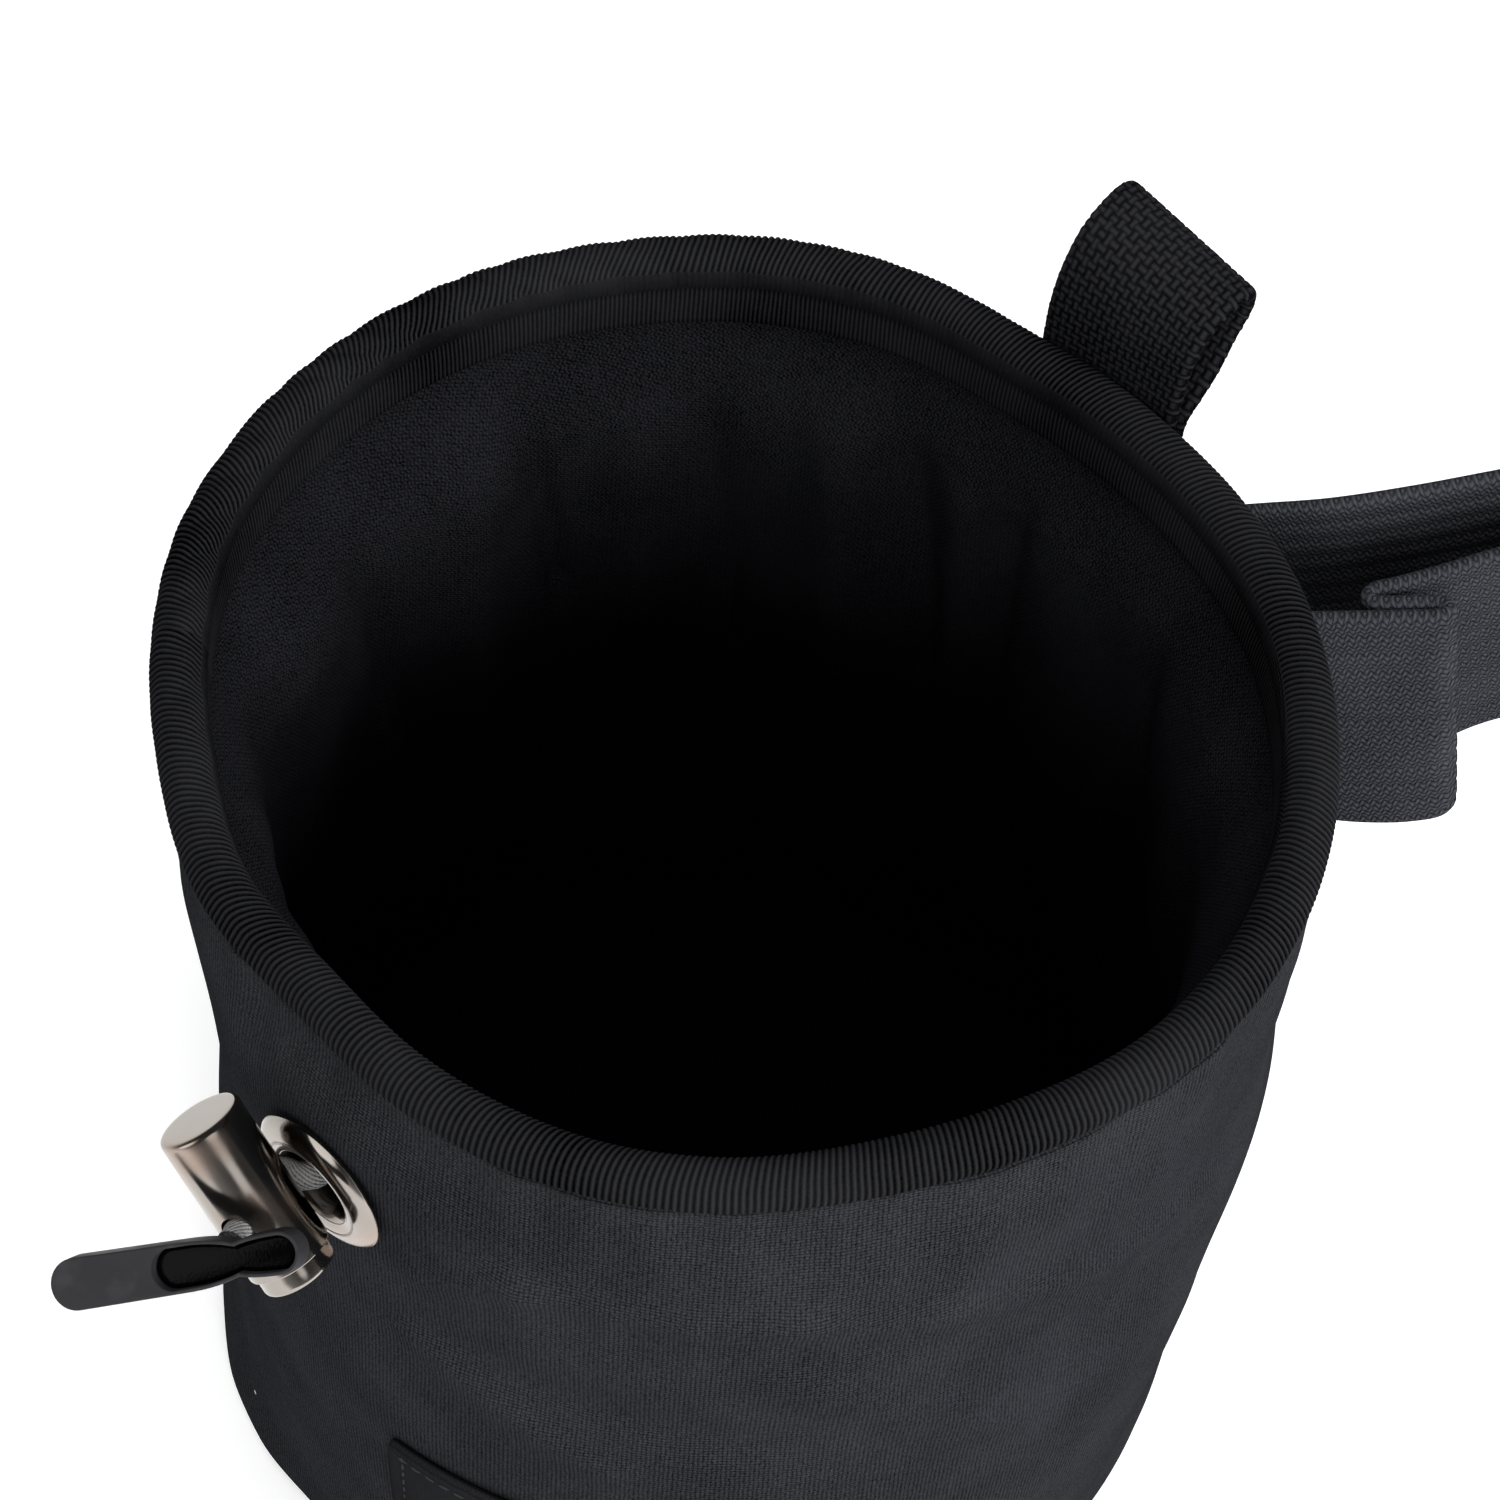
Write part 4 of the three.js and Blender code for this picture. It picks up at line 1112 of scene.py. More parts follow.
def make_stitch_tree() -> bpy.types.NodeTree:
    """Makes the tree that lays stitches along a line of edges.

    Returns:
        The geometry tree, with named inputs for spacing, length, thickness, seed and material.
    """
    tree = bpy.data.node_groups.new("row_of_stitches", "GeometryNodeTree")
    for label, kind, value in (
        ("Geometry", "NodeSocketGeometry", None),
        ("Spacing", "NodeSocketFloat", 0.0028),
        ("Length", "NodeSocketFloat", 0.0022),
        ("Thickness", "NodeSocketFloat", 0.0004),
        ("Slant", "NodeSocketFloat", 0.0),
        ("Seed", "NodeSocketInt", 3),
        ("Material", "NodeSocketMaterial", None),
    ):
        socket = tree.interface.new_socket(name=label, in_out="INPUT", socket_type=kind)
        if value is not None:
            socket.default_value = value
    tree.interface.new_socket(name="Geometry", in_out="OUTPUT", socket_type="NodeSocketGeometry")
    sheet = NodeSheet(tree)
    given = sheet.add("NodeGroupInput").outputs
    line = sheet.add("GeometryNodeMeshToCurve", {"Mesh": given["Geometry"]})
    spaced = sheet.add(
        "GeometryNodeResampleCurve", {"Curve": line.outputs[0], "Length": given["Spacing"]},
        mode="LENGTH"
    )
    ball = sheet.add("GeometryNodeMeshUVSphere", {"Segments": 8, "Rings": 8, "Radius": 0.5})
    size = sheet.add(
        "ShaderNodeCombineXYZ", {0: given["Length"], 1: given["Thickness"], 2: given["Thickness"]}
    )
    tangent = sheet.add("GeometryNodeInputTangent")
    lean = sheet.add("FunctionNodeRandomValue", {"Seed": given["Seed"]}, data_type="FLOAT")
    lean.inputs[2].default_value = -0.08
    lean.inputs[3].default_value = 0.08
    turn = sheet.add("FunctionNodeAlignRotationToVector", {"Vector": tangent.outputs[0]}, axis="X")
    wobble = sheet.add("ShaderNodeCombineXYZ", {2: sheet.math("ADD", lean.outputs[1], given["Slant"])})
    turned = sheet.add(
        "FunctionNodeRotateRotation", {"Rotation": turn.outputs[0], "Rotate By": wobble.outputs[0]},
        rotation_space="LOCAL"
    )
    placed = sheet.add(
        "GeometryNodeInstanceOnPoints",
        {
            "Points": spaced.outputs[0], "Instance": ball.outputs[0], "Rotation": turned.outputs[0],
            "Scale": size.outputs[0]
        },
    )
    real = sheet.add("GeometryNodeRealizeInstances", {"Geometry": placed.outputs[0]})
    smooth = sheet.add("GeometryNodeSetShadeSmooth", {"Geometry": real.outputs[0]})
    dressed = sheet.add(
        "GeometryNodeSetMaterial", {"Geometry": smooth.outputs[0], "Material": given["Material"]}
    )
    end_group(sheet, {"Geometry": dressed.outputs[0]})
    return tree


@dataclass(frozen=True)
class Seam:
    """A row of stitches along a line.

    Attributes:
        name: The piece's name.
        spacing: Distance from stitch to stitch.
        length: Length of a stitch.
        thickness: Thickness of the thread.
        slant: Turn of each stitch out of the line, in radians.
        seed: Picks the small differences between stitches.
    """

    name: str
    spacing: float = 0.0028
    length: float = 0.0023
    thickness: float = 0.00042
    slant: float = 0.0
    seed: int = 3

    def sew(self, lines: list[np.ndarray]) -> bpy.types.Object:
        """Lays the stitches.

        Args:
            lines: One array of points for each row.

        Returns:
            The stitches as one plain mesh.
        """
        mesh = bpy.data.meshes.new(self.name)
        points = np.vstack(lines)
        edges = []
        start = 0
        for line in lines:
            edges += [(start + index, start + index + 1) for index in range(len(line) - 1)]
            start += len(line)
        mesh.from_pydata([tuple(point) for point in points], edges, [])
        piece = make_object(self.name, mesh)
        tree = bpy.data.node_groups.get("row_of_stitches") or make_stitch_tree()
        modifier = piece.modifiers.new("stitches", "NODES")
        modifier.node_group = tree
        thread = bpy.data.materials.get(THREAD.name) or THREAD.make()
        values = {
            "Spacing": self.spacing, "Length": self.length, "Thickness": self.thickness,
            "Slant": self.slant, "Seed": self.seed, "Material": thread,
        }
        for item in tree.interface.items_tree:
            if item.item_type == "SOCKET" and item.in_out == "INPUT" and item.name in values:
                modifier[item.identifier] = values[item.name]
        sewn = plain_copy(piece)
        if "cloth" not in sewn.data.uv_layers:
            sewn.data.uv_layers.new(name="cloth")
        return sewn


def make_thread_tree() -> bpy.types.NodeTree:
    """Makes the tree that raises ribs or crossing threads on a surface.

    Returns:
        The geometry tree; the surface carries weft, warp and over as point attributes.
    """
    tree = bpy.data.node_groups.new("raised_threads", "GeometryNodeTree")
    for label, kind, value in (
        ("Geometry", "NodeSocketGeometry", None),
        ("Depth", "NodeSocketFloat", 0.0002),
        ("Fullness", "NodeSocketFloat", 0.7),
        ("Material", "NodeSocketMaterial", None),
    ):
        socket = tree.interface.new_socket(name=label, in_out="INPUT", socket_type=kind)
        if value is not None:
            socket.default_value = value
    tree.interface.new_socket(name="Geometry", in_out="OUTPUT", socket_type="NodeSocketGeometry")
    sheet = NodeSheet(tree)
    given = sheet.add("NodeGroupInput").outputs

    def attribute(label: str) -> bpy.types.NodeSocket:
        """Reads a point attribute."""
        return sheet.add("GeometryNodeInputNamedAttribute", {"Name": label}, data_type="FLOAT").outputs[0]

    def wave(phase: bpy.types.NodeSocket) -> bpy.types.NodeSocket:
        """Returns one rounded thread for each unit of the phase."""
        crest = sheet.math("ABSOLUTE", sheet.math("SINE", sheet.math("MULTIPLY", phase, math.pi)))
        return sheet.math("POWER", crest, given["Fullness"])

    over = attribute("over")
    weft = sheet.math("MULTIPLY", wave(attribute("weft")), over)
    warp = sheet.math("MULTIPLY", wave(attribute("warp")), sheet.math("SUBTRACT", 1.0, over))
    rise = sheet.math("MULTIPLY", sheet.math("ADD", weft, warp), given["Depth"])
    normal = sheet.add("GeometryNodeInputNormal")
    offset = sheet.add("ShaderNodeVectorMath", {0: normal.outputs[0]}, operation="SCALE")
    sheet.tree.links.new(rise, offset.inputs["Scale"])
    moved = sheet.add(
        "GeometryNodeSetPosition", {"Geometry": given["Geometry"], "Offset": offset.outputs[0]}
    )
    real = sheet.add("GeometryNodeRealizeInstances", {"Geometry": moved.outputs[0]})
    dressed = sheet.add(
        "GeometryNodeSetMaterial", {"Geometry": real.outputs[0], "Material": given["Material"]}
    )
    end_group(sheet, {"Geometry": dressed.outputs[0]})
    return tree


def raise_threads(
    piece: bpy.types.Object, weft: np.ndarray, warp: np.ndarray, over: np.ndarray, depth: float,
    finish: ClothFinish
) -> bpy.types.Object:
    """Raises real threads on a piece.

    Args:
        piece: The smooth surface.
        weft: Phase of the threads that run across, for each point.
        warp: Phase of the threads that run along.
        over: Share of the weft that lies on top.
        depth: How far a thread stands up.
        finish: The piece's finish.

    Returns:
        The piece as a plain mesh.
    """
    for label, values in (("weft", weft), ("warp", warp), ("over", over)):
        layer = piece.data.attributes.new(label, "FLOAT", "POINT")
        filled = np.zeros(len(piece.data.vertices), np.float32)
        filled[: values.size] = values.reshape(-1)
        layer.data.foreach_set("value", filled)
    tree = bpy.data.node_groups.get("raised_threads") or make_thread_tree()
    modifier = piece.modifiers.new("threads", "NODES")
    modifier.node_group = tree
    values = {"Depth": depth, "Material": bpy.data.materials.get(finish.name) or finish.make()}
    for item in tree.interface.items_tree:
        if item.item_type == "SOCKET" and item.in_out == "INPUT" and item.name in values:
            modifier[item.identifier] = values[item.name]
    return plain_copy(piece)


def face_outwards(piece: bpy.types.Object) -> None:
    """Turns a closed mesh's faces outwards.

    Args:
        piece: The closed mesh.
    """
    work = bmesh.new()
    work.from_mesh(piece.data)
    bmesh.ops.recalc_face_normals(work, faces=work.faces[:])
    work.to_mesh(piece.data)
    work.free()
    piece.data.update()


def grid_texture(points: np.ndarray, width: float | None = None) -> np.ndarray:
    """Lays a millimetre texture over a grid by the lengths of its middle lines.

    Args:
        points: Rows by columns by 3.
        width: The length round the columns, or none to measure it.

    Returns:
        Texture places, one longer than the points both ways.
    """
    rows, columns = points.shape[:2]
    down = np.vstack([points[:, :1], points[:1, :1]])[:, 0]
    lengths = np.concatenate([[0], np.cumsum(np.linalg.norm(np.diff(down, axis=0), axis=1))]) / MM
    if width is None:
        middle = np.vstack([points[rows // 2], points[rows // 2, :1]])
        across = np.concatenate([[0], np.cumsum(np.linalg.norm(np.diff(middle, axis=0), axis=1))]) / MM
    else:
        across = np.linspace(0, width / MM, columns + 1)
    texture = np.empty((rows + 1, columns + 1, 2))
    texture[..., 0] = across[None, :]
    texture[..., 1] = lengths[:, None]
    return texture


@dataclass
class Shell:
    """The outer cloth wall, turned in over the floor, with its hole for the eyelet.

    Attributes:
        form: The bag's shared form.
        columns: Points round the wall.
        rows: Points up the outside.
        pucker: Depth of the puckers where the tape draws the cloth in.
        wave: Depth of the cloth's slow unevenness.
    """

    form: BagForm = FORM
    columns: int = 600
    rows: int = 124
    pucker: float = 0.00045
    wave: float = 0.0005

    def outside(self, azimuth: np.ndarray, height: np.ndarray) -> np.ndarray:
        """Gives the wall with its puckers and small waves.

        Args:
            azimuth: Angles in radians.
            height: Heights above the floor.

        Returns:
            The radius at each place.
        """
        form = self.form
        around_mm = azimuth * form.mouth_radius
        fade = smooth_step(height, 0.004, 0.02)
        slow = lattice_noise(around_mm / 0.0206, height / 0.016, 11, 18)
        middle = lattice_noise(around_mm / 0.00927, height / 0.012, 12, 40)
        rise = self.wave * fade * (slow + 0.45 * middle)
        gathered = lattice_noise(around_mm / 0.0037065, height / 0.03, 13, 100)
        near_rim = np.exp(-(((form.height - 0.004 - height) / 0.012) ** 2))
        rise = rise + self.pucker * gathered * near_rim
        front = np.exp(-((np.mod(azimuth / TURN + 0.5, 1.0) - 0.5 + 0.21) ** 2) / 0.015)
        seam = 0.8 * form.height
        seam_pucker = lattice_noise(around_mm / 0.0028, height / 0.02, 14, 132)
        rise = rise + self.pucker * 0.8 * seam_pucker * np.exp(-(((height - seam) / 0.007) ** 2)) * front
        free = 1 - np.exp(-(((height - 0.1075) / 0.013) ** 2) - ((azimuth - EYELET.angle) / 0.22) ** 2)
        return form.shell_radius(azimuth, height) + rise * free

    def build(self) -> None:
        """Makes, cuts, dresses and hands over the wall."""
        form = self.form
        azimuth = (np.arange(self.columns) / self.columns * TURN - math.pi)[None, :]
        lip = form.floor_edge_radius + form.floor_lip_width - form.clearance

        def side(inset: float, count: int) -> np.ndarray:
            """Lays out one face of the wall from the lip to the top.

            Args:
                inset: How far the face lies inside the outer one.
                count: Rows above the floor's edge.

            Returns:
                The face's points, row by row.
            """
            bend = form.floor_edge_radius - inset
            turn = np.linspace(0, math.pi / 2, 9)[:, None]
            level = form.floor_edge_radius - bend * np.cos(turn)
            edge = self.outside(azimuth, level) - form.floor_edge_radius + bend * np.sin(turn)
            height = np.linspace(form.floor_edge_radius, form.lining_top, count)[1:, None]
            wall = self.outside(azimuth, height) - inset
            start = form.shell_radius(azimuth, np.array(0.0)) - lip
            return np.vstack([
                polar(start, azimuth, np.full_like(azimuth, inset)),
                polar(edge, azimuth, level * np.ones_like(azimuth)),
                polar(wall, azimuth, height * np.ones_like(azimuth)),
            ])

        points = np.vstack([side(0.0, self.rows), side(form.shell_wall, 22)[::-1]])
        piece = grid_object("shell_wall", points, grid_texture(points, TURN * form.mouth_radius), True, True)
        rod = lathe_object(
            "hole_tool",
            [
                (0, -0.005), (EYELET.tube_radius + 0.0003, -0.005), (EYELET.tube_radius + 0.0003, 0.005),
                (0, 0.005)
            ],
            EYELET.centre, EYELET.out, 48,
        )
        piece = cut(piece, rod)
        dress(piece, SHELL_CLOTH)
        hand_over(piece, Body.BAG, "outer_shell")
        dress_node("base_panel", SHELL_CLOTH)


@dataclass
class Lining:
    """The cloth sleeve and cup inside, gathered into lobes below the mouth.

    Attributes:
        form: The bag's shared form.
        columns: Points round the sleeve.
        crease: Depth of the small creases below the tape.
        fine_share: Depth of the finest creases, as a share of crease.
        lobe_share: Depth of the broad lobes, as a share of crease.
    """

    form: BagForm = FORM
    columns: int = 560
    crease: float = 0.0007
    fine_share: float = 0.3
    lobe_share: float = 2.6

    def face(self, azimuth: np.ndarray, height: np.ndarray) -> np.ndarray:
        """Gives the lining's outer face with its small creases, all of them inward.

        Args:
            azimuth: Angles in radians.
            height: Heights above the floor.

        Returns:
            The radius at each place.
        """
        form = self.form
        around_mm = azimuth * form.mouth_radius
        leaning = around_mm + (form.height - height) * 0.22
        fine = lattice_noise(leaning / 0.0046331, height / 0.026, 21, 80)
        broad = lattice_noise(leaning / 0.0123549, height / 0.02, 22, 30)
        lobes = lattice_noise(leaning / 0.0231654, height / 0.045, 23, 16)
        below = smooth_step(form.lining_top - form.skirt_height - height, 0.0, 0.012)
        depth = smooth_step(height, 0.012, 0.05)
        near = np.exp(-(((form.lining_top - 0.012 - height) / 0.016) ** 2))
        creases = self.fine_share * (1 + fine) * (0.35 + near) + (1 + broad) + self.lobe_share * (1 + lobes)
        rise = -self.crease * below * depth * creases
        return form.lining_outside(azimuth, height) + rise

    def build(self) -> None:
        """Makes, dresses and hands over the lining."""
        form = self.form
        azimuth = (np.arange(self.columns) / self.columns * TURN - math.pi)[None, :]
        floor = form.panel_thickness + form.clearance

        def side(inset: float, floor_rows: int, count: int) -> np.ndarray:
            """Lays out one face of the lining from the middle of its floor to the top.

            Args:
                inset: How far the face lies inside the outer one.
                floor_rows: Rows on the floor.
                count: Rows up the sleeve.

            Returns:
                The face's points, row by row.
            """
            bend = form.lining_corner_radius - inset
            level = floor + form.lining_corner_radius
            turn = np.linspace(0, math.pi / 2, 9)[:, None]
            height = level - bend * np.cos(turn)
            corner = self.face(azimuth, height) - form.lining_corner_radius + bend * np.sin(turn)
            share = np.linspace(0.01, 1, floor_rows, endpoint=False)[:, None]
            flat = corner[:1] * share
            above = np.linspace(level, form.lining_top, count)[1:, None]
            wall = self.face(azimuth, above) - inset
            ones = np.ones_like(azimuth)
            return np.vstack([
                polar(flat, azimuth, (floor + inset) * np.ones_like(flat)),
                polar(corner, azimuth, height * ones),
                polar(wall, azimuth, above * ones),
            ])

        inside = side(form.lining_wall, 10, 116)[::-1]
        points = np.vstack([side(0.0, 3, 22), inside])
        texture = grid_texture(points, TURN * form.lining_radius)
        piece = grid_object("lining_cup", points, texture, False, True)
        cap_ends(piece, *points.shape[:2])
        dress(piece, LINING_CLOTH)
        hand_over(piece, Body.BAG, "lining")


@dataclass
class Binding:
    """Ribbed tape wound over the stiff bead of the mouth, with its sewn skirt inside.

    Attributes:
        form: The bag's shared form.
        columns: Points round the mouth.
        rib_pitch: Distance from rib to rib.
        rib_depth: How far a rib stands up.
        pleat_depth: Depth of the rope-like pleats at the back left.
        skirt_thickness: Thickness of the skirt.
        slip: How far the ribs are drawn along the seam.
        slip_at_pleats: How much farther they are drawn at the back left.
        skirt_ribs: Ribs on the skirt for each rib on the bead.
    """

    form: BagForm = FORM
    columns: int = 2100
    rib_pitch: float = 0.00071
    rib_depth: float = 0.00026
    pleat_depth: float = 0.0005
    skirt_thickness: float = 0.0008
    slip: float = 0.0009
    slip_at_pleats: float = 0.0019
    skirt_ribs: float = 1.28

    def inside_lining(self, azimuth: np.ndarray, height: float) -> np.ndarray:
        """Returns the radius just inside the lining at a height.

        Args:
            azimuth: Angles in radians.
            height: The height.

        Returns:
            The radius at each angle.
        """
        form = self.form
        outside = form.lining_outside(azimuth, np.minimum(height, form.lining_top))
        return outside - form.lining_wall - form.clearance

    @property
    def bead_length(self) -> float:
        """Length of the section's round part."""
        return math.radians(278) * self.form.bead_radius + 0.0004

    def section(self, azimuth: np.ndarray) -> tuple[np.ndarray, np.ndarray, np.ndarray]:
        """Builds the tape's section round the mouth.

        Args:
            azimuth: Angles in radians, as one row.

        Returns:
            The points, the distance round the section, and the share of full ribs.
        """
        form = self.form
        rim = form.rim_radius(azimuth)
        skirt_top = form.lining_top + 0.0004
        skirt_bottom = form.lining_top - form.skirt_height
        around_mm = azimuth * form.mouth_radius
        inner_left = np.exp(-((np.mod(azimuth / TURN, 1.0) - 0.38) ** 2) / 0.022)
        rows = []
        ribs = []
        for turn in np.radians(np.linspace(-118, 160, 25)):
            lean = around_mm + 0.55 * turn * form.bead_radius * 2
            pleats = np.abs(
                np.sin(lean / 0.00618 * math.pi + 1.4 * lattice_noise(lean / 0.0103, around_mm * 0, 31, 36))
            )
            sag = lattice_noise(around_mm / 0.0103, np.full_like(azimuth, turn * 2), 32, 36)
            inwards = max(math.sin(turn * 0.5 + 0.25), 0.0)
            radius = form.bead_radius + 0.00012 * sag
            radius = radius + self.pleat_depth * (pleats - 0.75) * inner_left * inwards
            rows.append(polar(rim + radius * math.cos(turn), azimuth, form.height + radius * math.sin(turn)))
            ribs.append(np.ones_like(azimuth))
        groove = form.height - 0.2 * form.bead_radius
        face = form.lining_outside(azimuth, np.array(form.lining_top)) - form.lining_wall - form.clearance
        rows.append(polar(face - 0.0013, azimuth, np.full_like(azimuth, groove - 0.0006)))
        ribs.append(np.full_like(azimuth, 0.5))
        for share in np.linspace(0, 1, 8):
            height = (groove - 0.0012) * (1 - share) + (skirt_bottom + 0.0003) * share
            inner = self.inside_lining(azimuth, height)
            bulge = 0.00025 * math.sin(math.pi * share)
            rows.append(polar(inner - self.skirt_thickness - bulge, azimuth, np.full_like(azimuth, height)))
            ribs.append(np.full_like(azimuth, 0.75))
        for depth, height in (
            (0.6, skirt_bottom), (0.15, skirt_bottom), (0.0, skirt_bottom + 0.0004),
            (0.0, (skirt_bottom + skirt_top) / 2), (0.0, skirt_top),
        ):
            inner = self.inside_lining(azimuth, height)
            rows.append(polar(inner - depth * self.skirt_thickness, azimuth, np.full_like(azimuth, height)))
            ribs.append(np.zeros_like(azimuth))
        points = np.vstack([row[None] if row.ndim == 2 else row for row in rows])
        walked = np.linalg.norm(np.diff(points, axis=0), axis=2).mean(axis=1)
        lengths = np.concatenate([[0], np.cumsum(walked)])
        return points, lengths, np.vstack(ribs)

    def build(self) -> None:
        """Makes, dresses and hands over the tape."""
        azimuth = (np.arange(self.columns) / self.columns * TURN - math.pi)[None, :]
        points, lengths, ribs = self.section(azimuth)
        around_mm = azimuth * self.form.mouth_radius
        total = TURN * self.form.mouth_radius
        pitch = total / round(total / self.rib_pitch)
        zone = np.exp(-((np.mod(azimuth / TURN, 1.0) - 0.36) ** 2) / 0.03)
        uneven = 1 + 0.4 * lattice_noise(around_mm / 0.0123549, around_mm * 0, 34, 30)
        pull = (self.slip + self.slip_at_pleats * zone) * uneven
        along = np.clip(lengths[:, None], 0, self.bead_length)
        shift = pull * smooth_step(along, 0.55 * self.bead_length, 1.05 * self.bead_length)
        wander = 0.12 * lattice_noise(around_mm / 0.0049421, lengths[:, None] / 0.004, 33, 75)
        on_skirt = (lengths > self.bead_length)[:, None]
        weft = (around_mm - np.where(on_skirt, 0, shift)) / pitch + wander
        weft = np.where(on_skirt, weft * self.skirt_ribs, weft)
        texture = grid_texture(points, total)
        piece = grid_object("rim_tape", points, texture, True, True)
        face_outwards(piece)
        piece = raise_threads(piece, weft, np.full_like(weft, 0.5) * 0, ribs, self.rib_depth, BINDING_TAPE)
        dress(piece, BINDING_TAPE)
        hand_over(piece, Body.BAG, "rim_binding")


def strip_object(
    name: str, place: object, shares: np.ndarray, crosswise: int, length: float, width: float,
    fullness: float
) -> tuple[bpy.types.Object, np.ndarray, np.ndarray, np.ndarray]:
    """Makes a closed strip with rounded edges.

    Args:
        name: The object's name.
        place: Gives points from shares along, through and across the strip.
        shares: Shares along the strip, one for each row.
        crosswise: Points across each face.
        length: The strip's length in metres.
        width: The strip's width in metres.
        fullness: How square the section is; a high value leaves thin rounded edges.

    Returns:
        The object, and for each of its points the length along, the distance across and the side.
    """
    top = np.linspace(0, 1, crosswise)
    across = np.concatenate([top, top[-2:0:-1]])
    side = np.concatenate([np.ones(crosswise), -np.ones(crosswise - 2)])
    thick = 0.5 * np.sqrt(np.clip(1 - np.abs(2 * across - 1) ** fullness, 0, 1)) * side
    points = place(shares[:, None], thick[None, :], across[None, :])
    rows, columns = points.shape[:2]
    texture = np.empty((rows + 1, columns + 1, 2))
    texture[:rows, :, 1] = (shares * length / MM)[:, None]
    texture[rows, :, 1] = length / MM
    texture[:, :columns, 0] = (across * width / MM)[None, :]
    texture[:, columns, 0] = 0
    piece = grid_object(name, points, texture, False, True)
    cap_ends(piece, rows, columns)
    face_outwards(piece)
    along = np.broadcast_to((shares * length)[:, None], (rows, columns))
    crossing = np.broadcast_to((across * width)[None, :], (rows, columns))
    return piece, along, crossing, np.broadcast_to(side[None, :], (rows, columns))


def sample(line: np.ndarray, shares: np.ndarray) -> np.ndarray:
    """Reads a line of equally spaced rows at shares of its length."""
    places = np.linspace(0, 1, len(line))
    return np.stack([np.interp(shares, places, line[:, axis]) for axis in range(line.shape[1])], -1)


@dataclass
class HangLoop:
    """The strip of webbing at the back right of the rim, standing up as a leaning loop.

    Attributes:
        form: The bag's shared form.
        azimuth: Where it is sewn on, in degrees.
        width: The webbing's width.
        thickness: The webbing's thickness.
        leg: Length of each leg below the bead.
        stand: Height of the loop above the bead's centre.
        turn: How far the loop is turned about +Z, in degrees.
        thread: Width of a thread.
        line: The loop's line as shares of stand: left out and up, right out and up.
    """

    form: BagForm = FORM
    azimuth: float = 50.7
    width: float = 0.018
    thickness: float = 0.0014
    leg: float = 0.009
    stand: float = 0.0172
    turn: float = 5.0
    thread: float = 0.00095
    line: tuple[tuple[float, float, float, float], ...] = (
        (0.06, -0.12, 0.06, -0.12), (0.06, 0.1, 0.07, 0.1), (0.07, 0.38, 0.08, 0.33),
        (0.14, 0.66, 0.13, 0.52), (0.28, 0.89, 0.24, 0.66), (0.46, 0.99, 0.42, 0.73),
        (0.62, 1.01, 0.58, 0.74), (0.73, 0.94, 0.68, 0.68), (0.72, 0.79, 0.68, 0.56),
        (0.63, 0.56, 0.6, 0.43), (0.45, 0.32, 0.44, 0.25), (0.27, 0.12, 0.27, 0.08),
        (0.165, -0.1, 0.165, -0.1),
    )

    def place(self, share: np.ndarray, through: np.ndarray, across: np.ndarray) -> np.ndarray:
        """Finds points of the loop.

        Args:
            share: Share along the strip, from the inner leg to the outer one.
            through: Share of the thickness from the middle.
            across: Share across the strip.

        Returns:
            The points.
        """
        form = self.form
        drop = self.leg / self.stand
        first, last = self.line[0], self.line[-1]
        rows = [(first[0], first[1] - drop, first[2], first[3] - drop), *self.line]
        rows.append((last[0], last[1] - drop, last[2], last[3] - drop))
        line = smooth_line(np.array(rows) * self.stand, 400)
        tangents = np.gradient(line, axis=0)
        point = sample(line, share)
        tangent = sample(tangents, share)
        left = across[..., None]
        middle = point[..., 2:] * (1 - left) + point[..., :2] * left
        run = tangent[..., 2:] * (1 - left) + tangent[..., :2] * left
        run = run / np.linalg.norm(run, axis=-1, keepdims=True)
        outward = middle[..., 0] + run[..., 1] * through * self.thickness
        upward = middle[..., 1] - run[..., 0] * through * self.thickness
        sideways = (across - 0.5) * self.width
        angle = math.radians(self.azimuth)
        azimuth = angle + sideways / form.mouth_radius + 0 * share
        wall = form.shell_radius(azimuth, np.minimum(form.height + upward, form.lining_top))
        rim_outside = np.maximum(form.rim_radius(azimuth) + form.bead_radius, wall)
        rim_middle = form.rim_radius(np.array(angle)) + form.bead_radius
        lift = smooth_step(upward, 0, self.stand * 0.4)[..., None]
        curved = polar(rim_outside + outward + form.clearance, azimuth, form.height + upward)
        turned = rim_middle + outward + form.clearance - math.tan(math.radians(self.turn)) * sideways
        straight = np.stack([
            math.cos(angle) * turned - math.sin(angle) * sideways,
            math.sin(angle) * turned + math.cos(angle) * sideways,
            form.height + upward,
        ], -1)
        return curved * (1 - lift) + straight * lift

    def build(self) -> None:
        """Makes, weaves, dresses and hands over the loop."""
        shares = np.linspace(0, 1, 330)
        middle = self.place(shares, np.zeros(1), np.full(1, 0.5))
        length = float(np.linalg.norm(np.diff(middle, axis=0), axis=1).sum())
        piece, along, across, _ = strip_object(
            "webbing_loop", self.place, shares, 96, length, self.width, 26
        )
        weft = along / self.thread
        warp = across / (self.width / round(self.width / self.thread))
        over = np.mod(np.floor(weft) + np.floor(warp), 2)
        piece = raise_threads(piece, weft, warp, over, 0.00016, WEBBING)
        dress(piece, WEBBING)
        hand_over(piece, Body.BAG, "hang_loop")


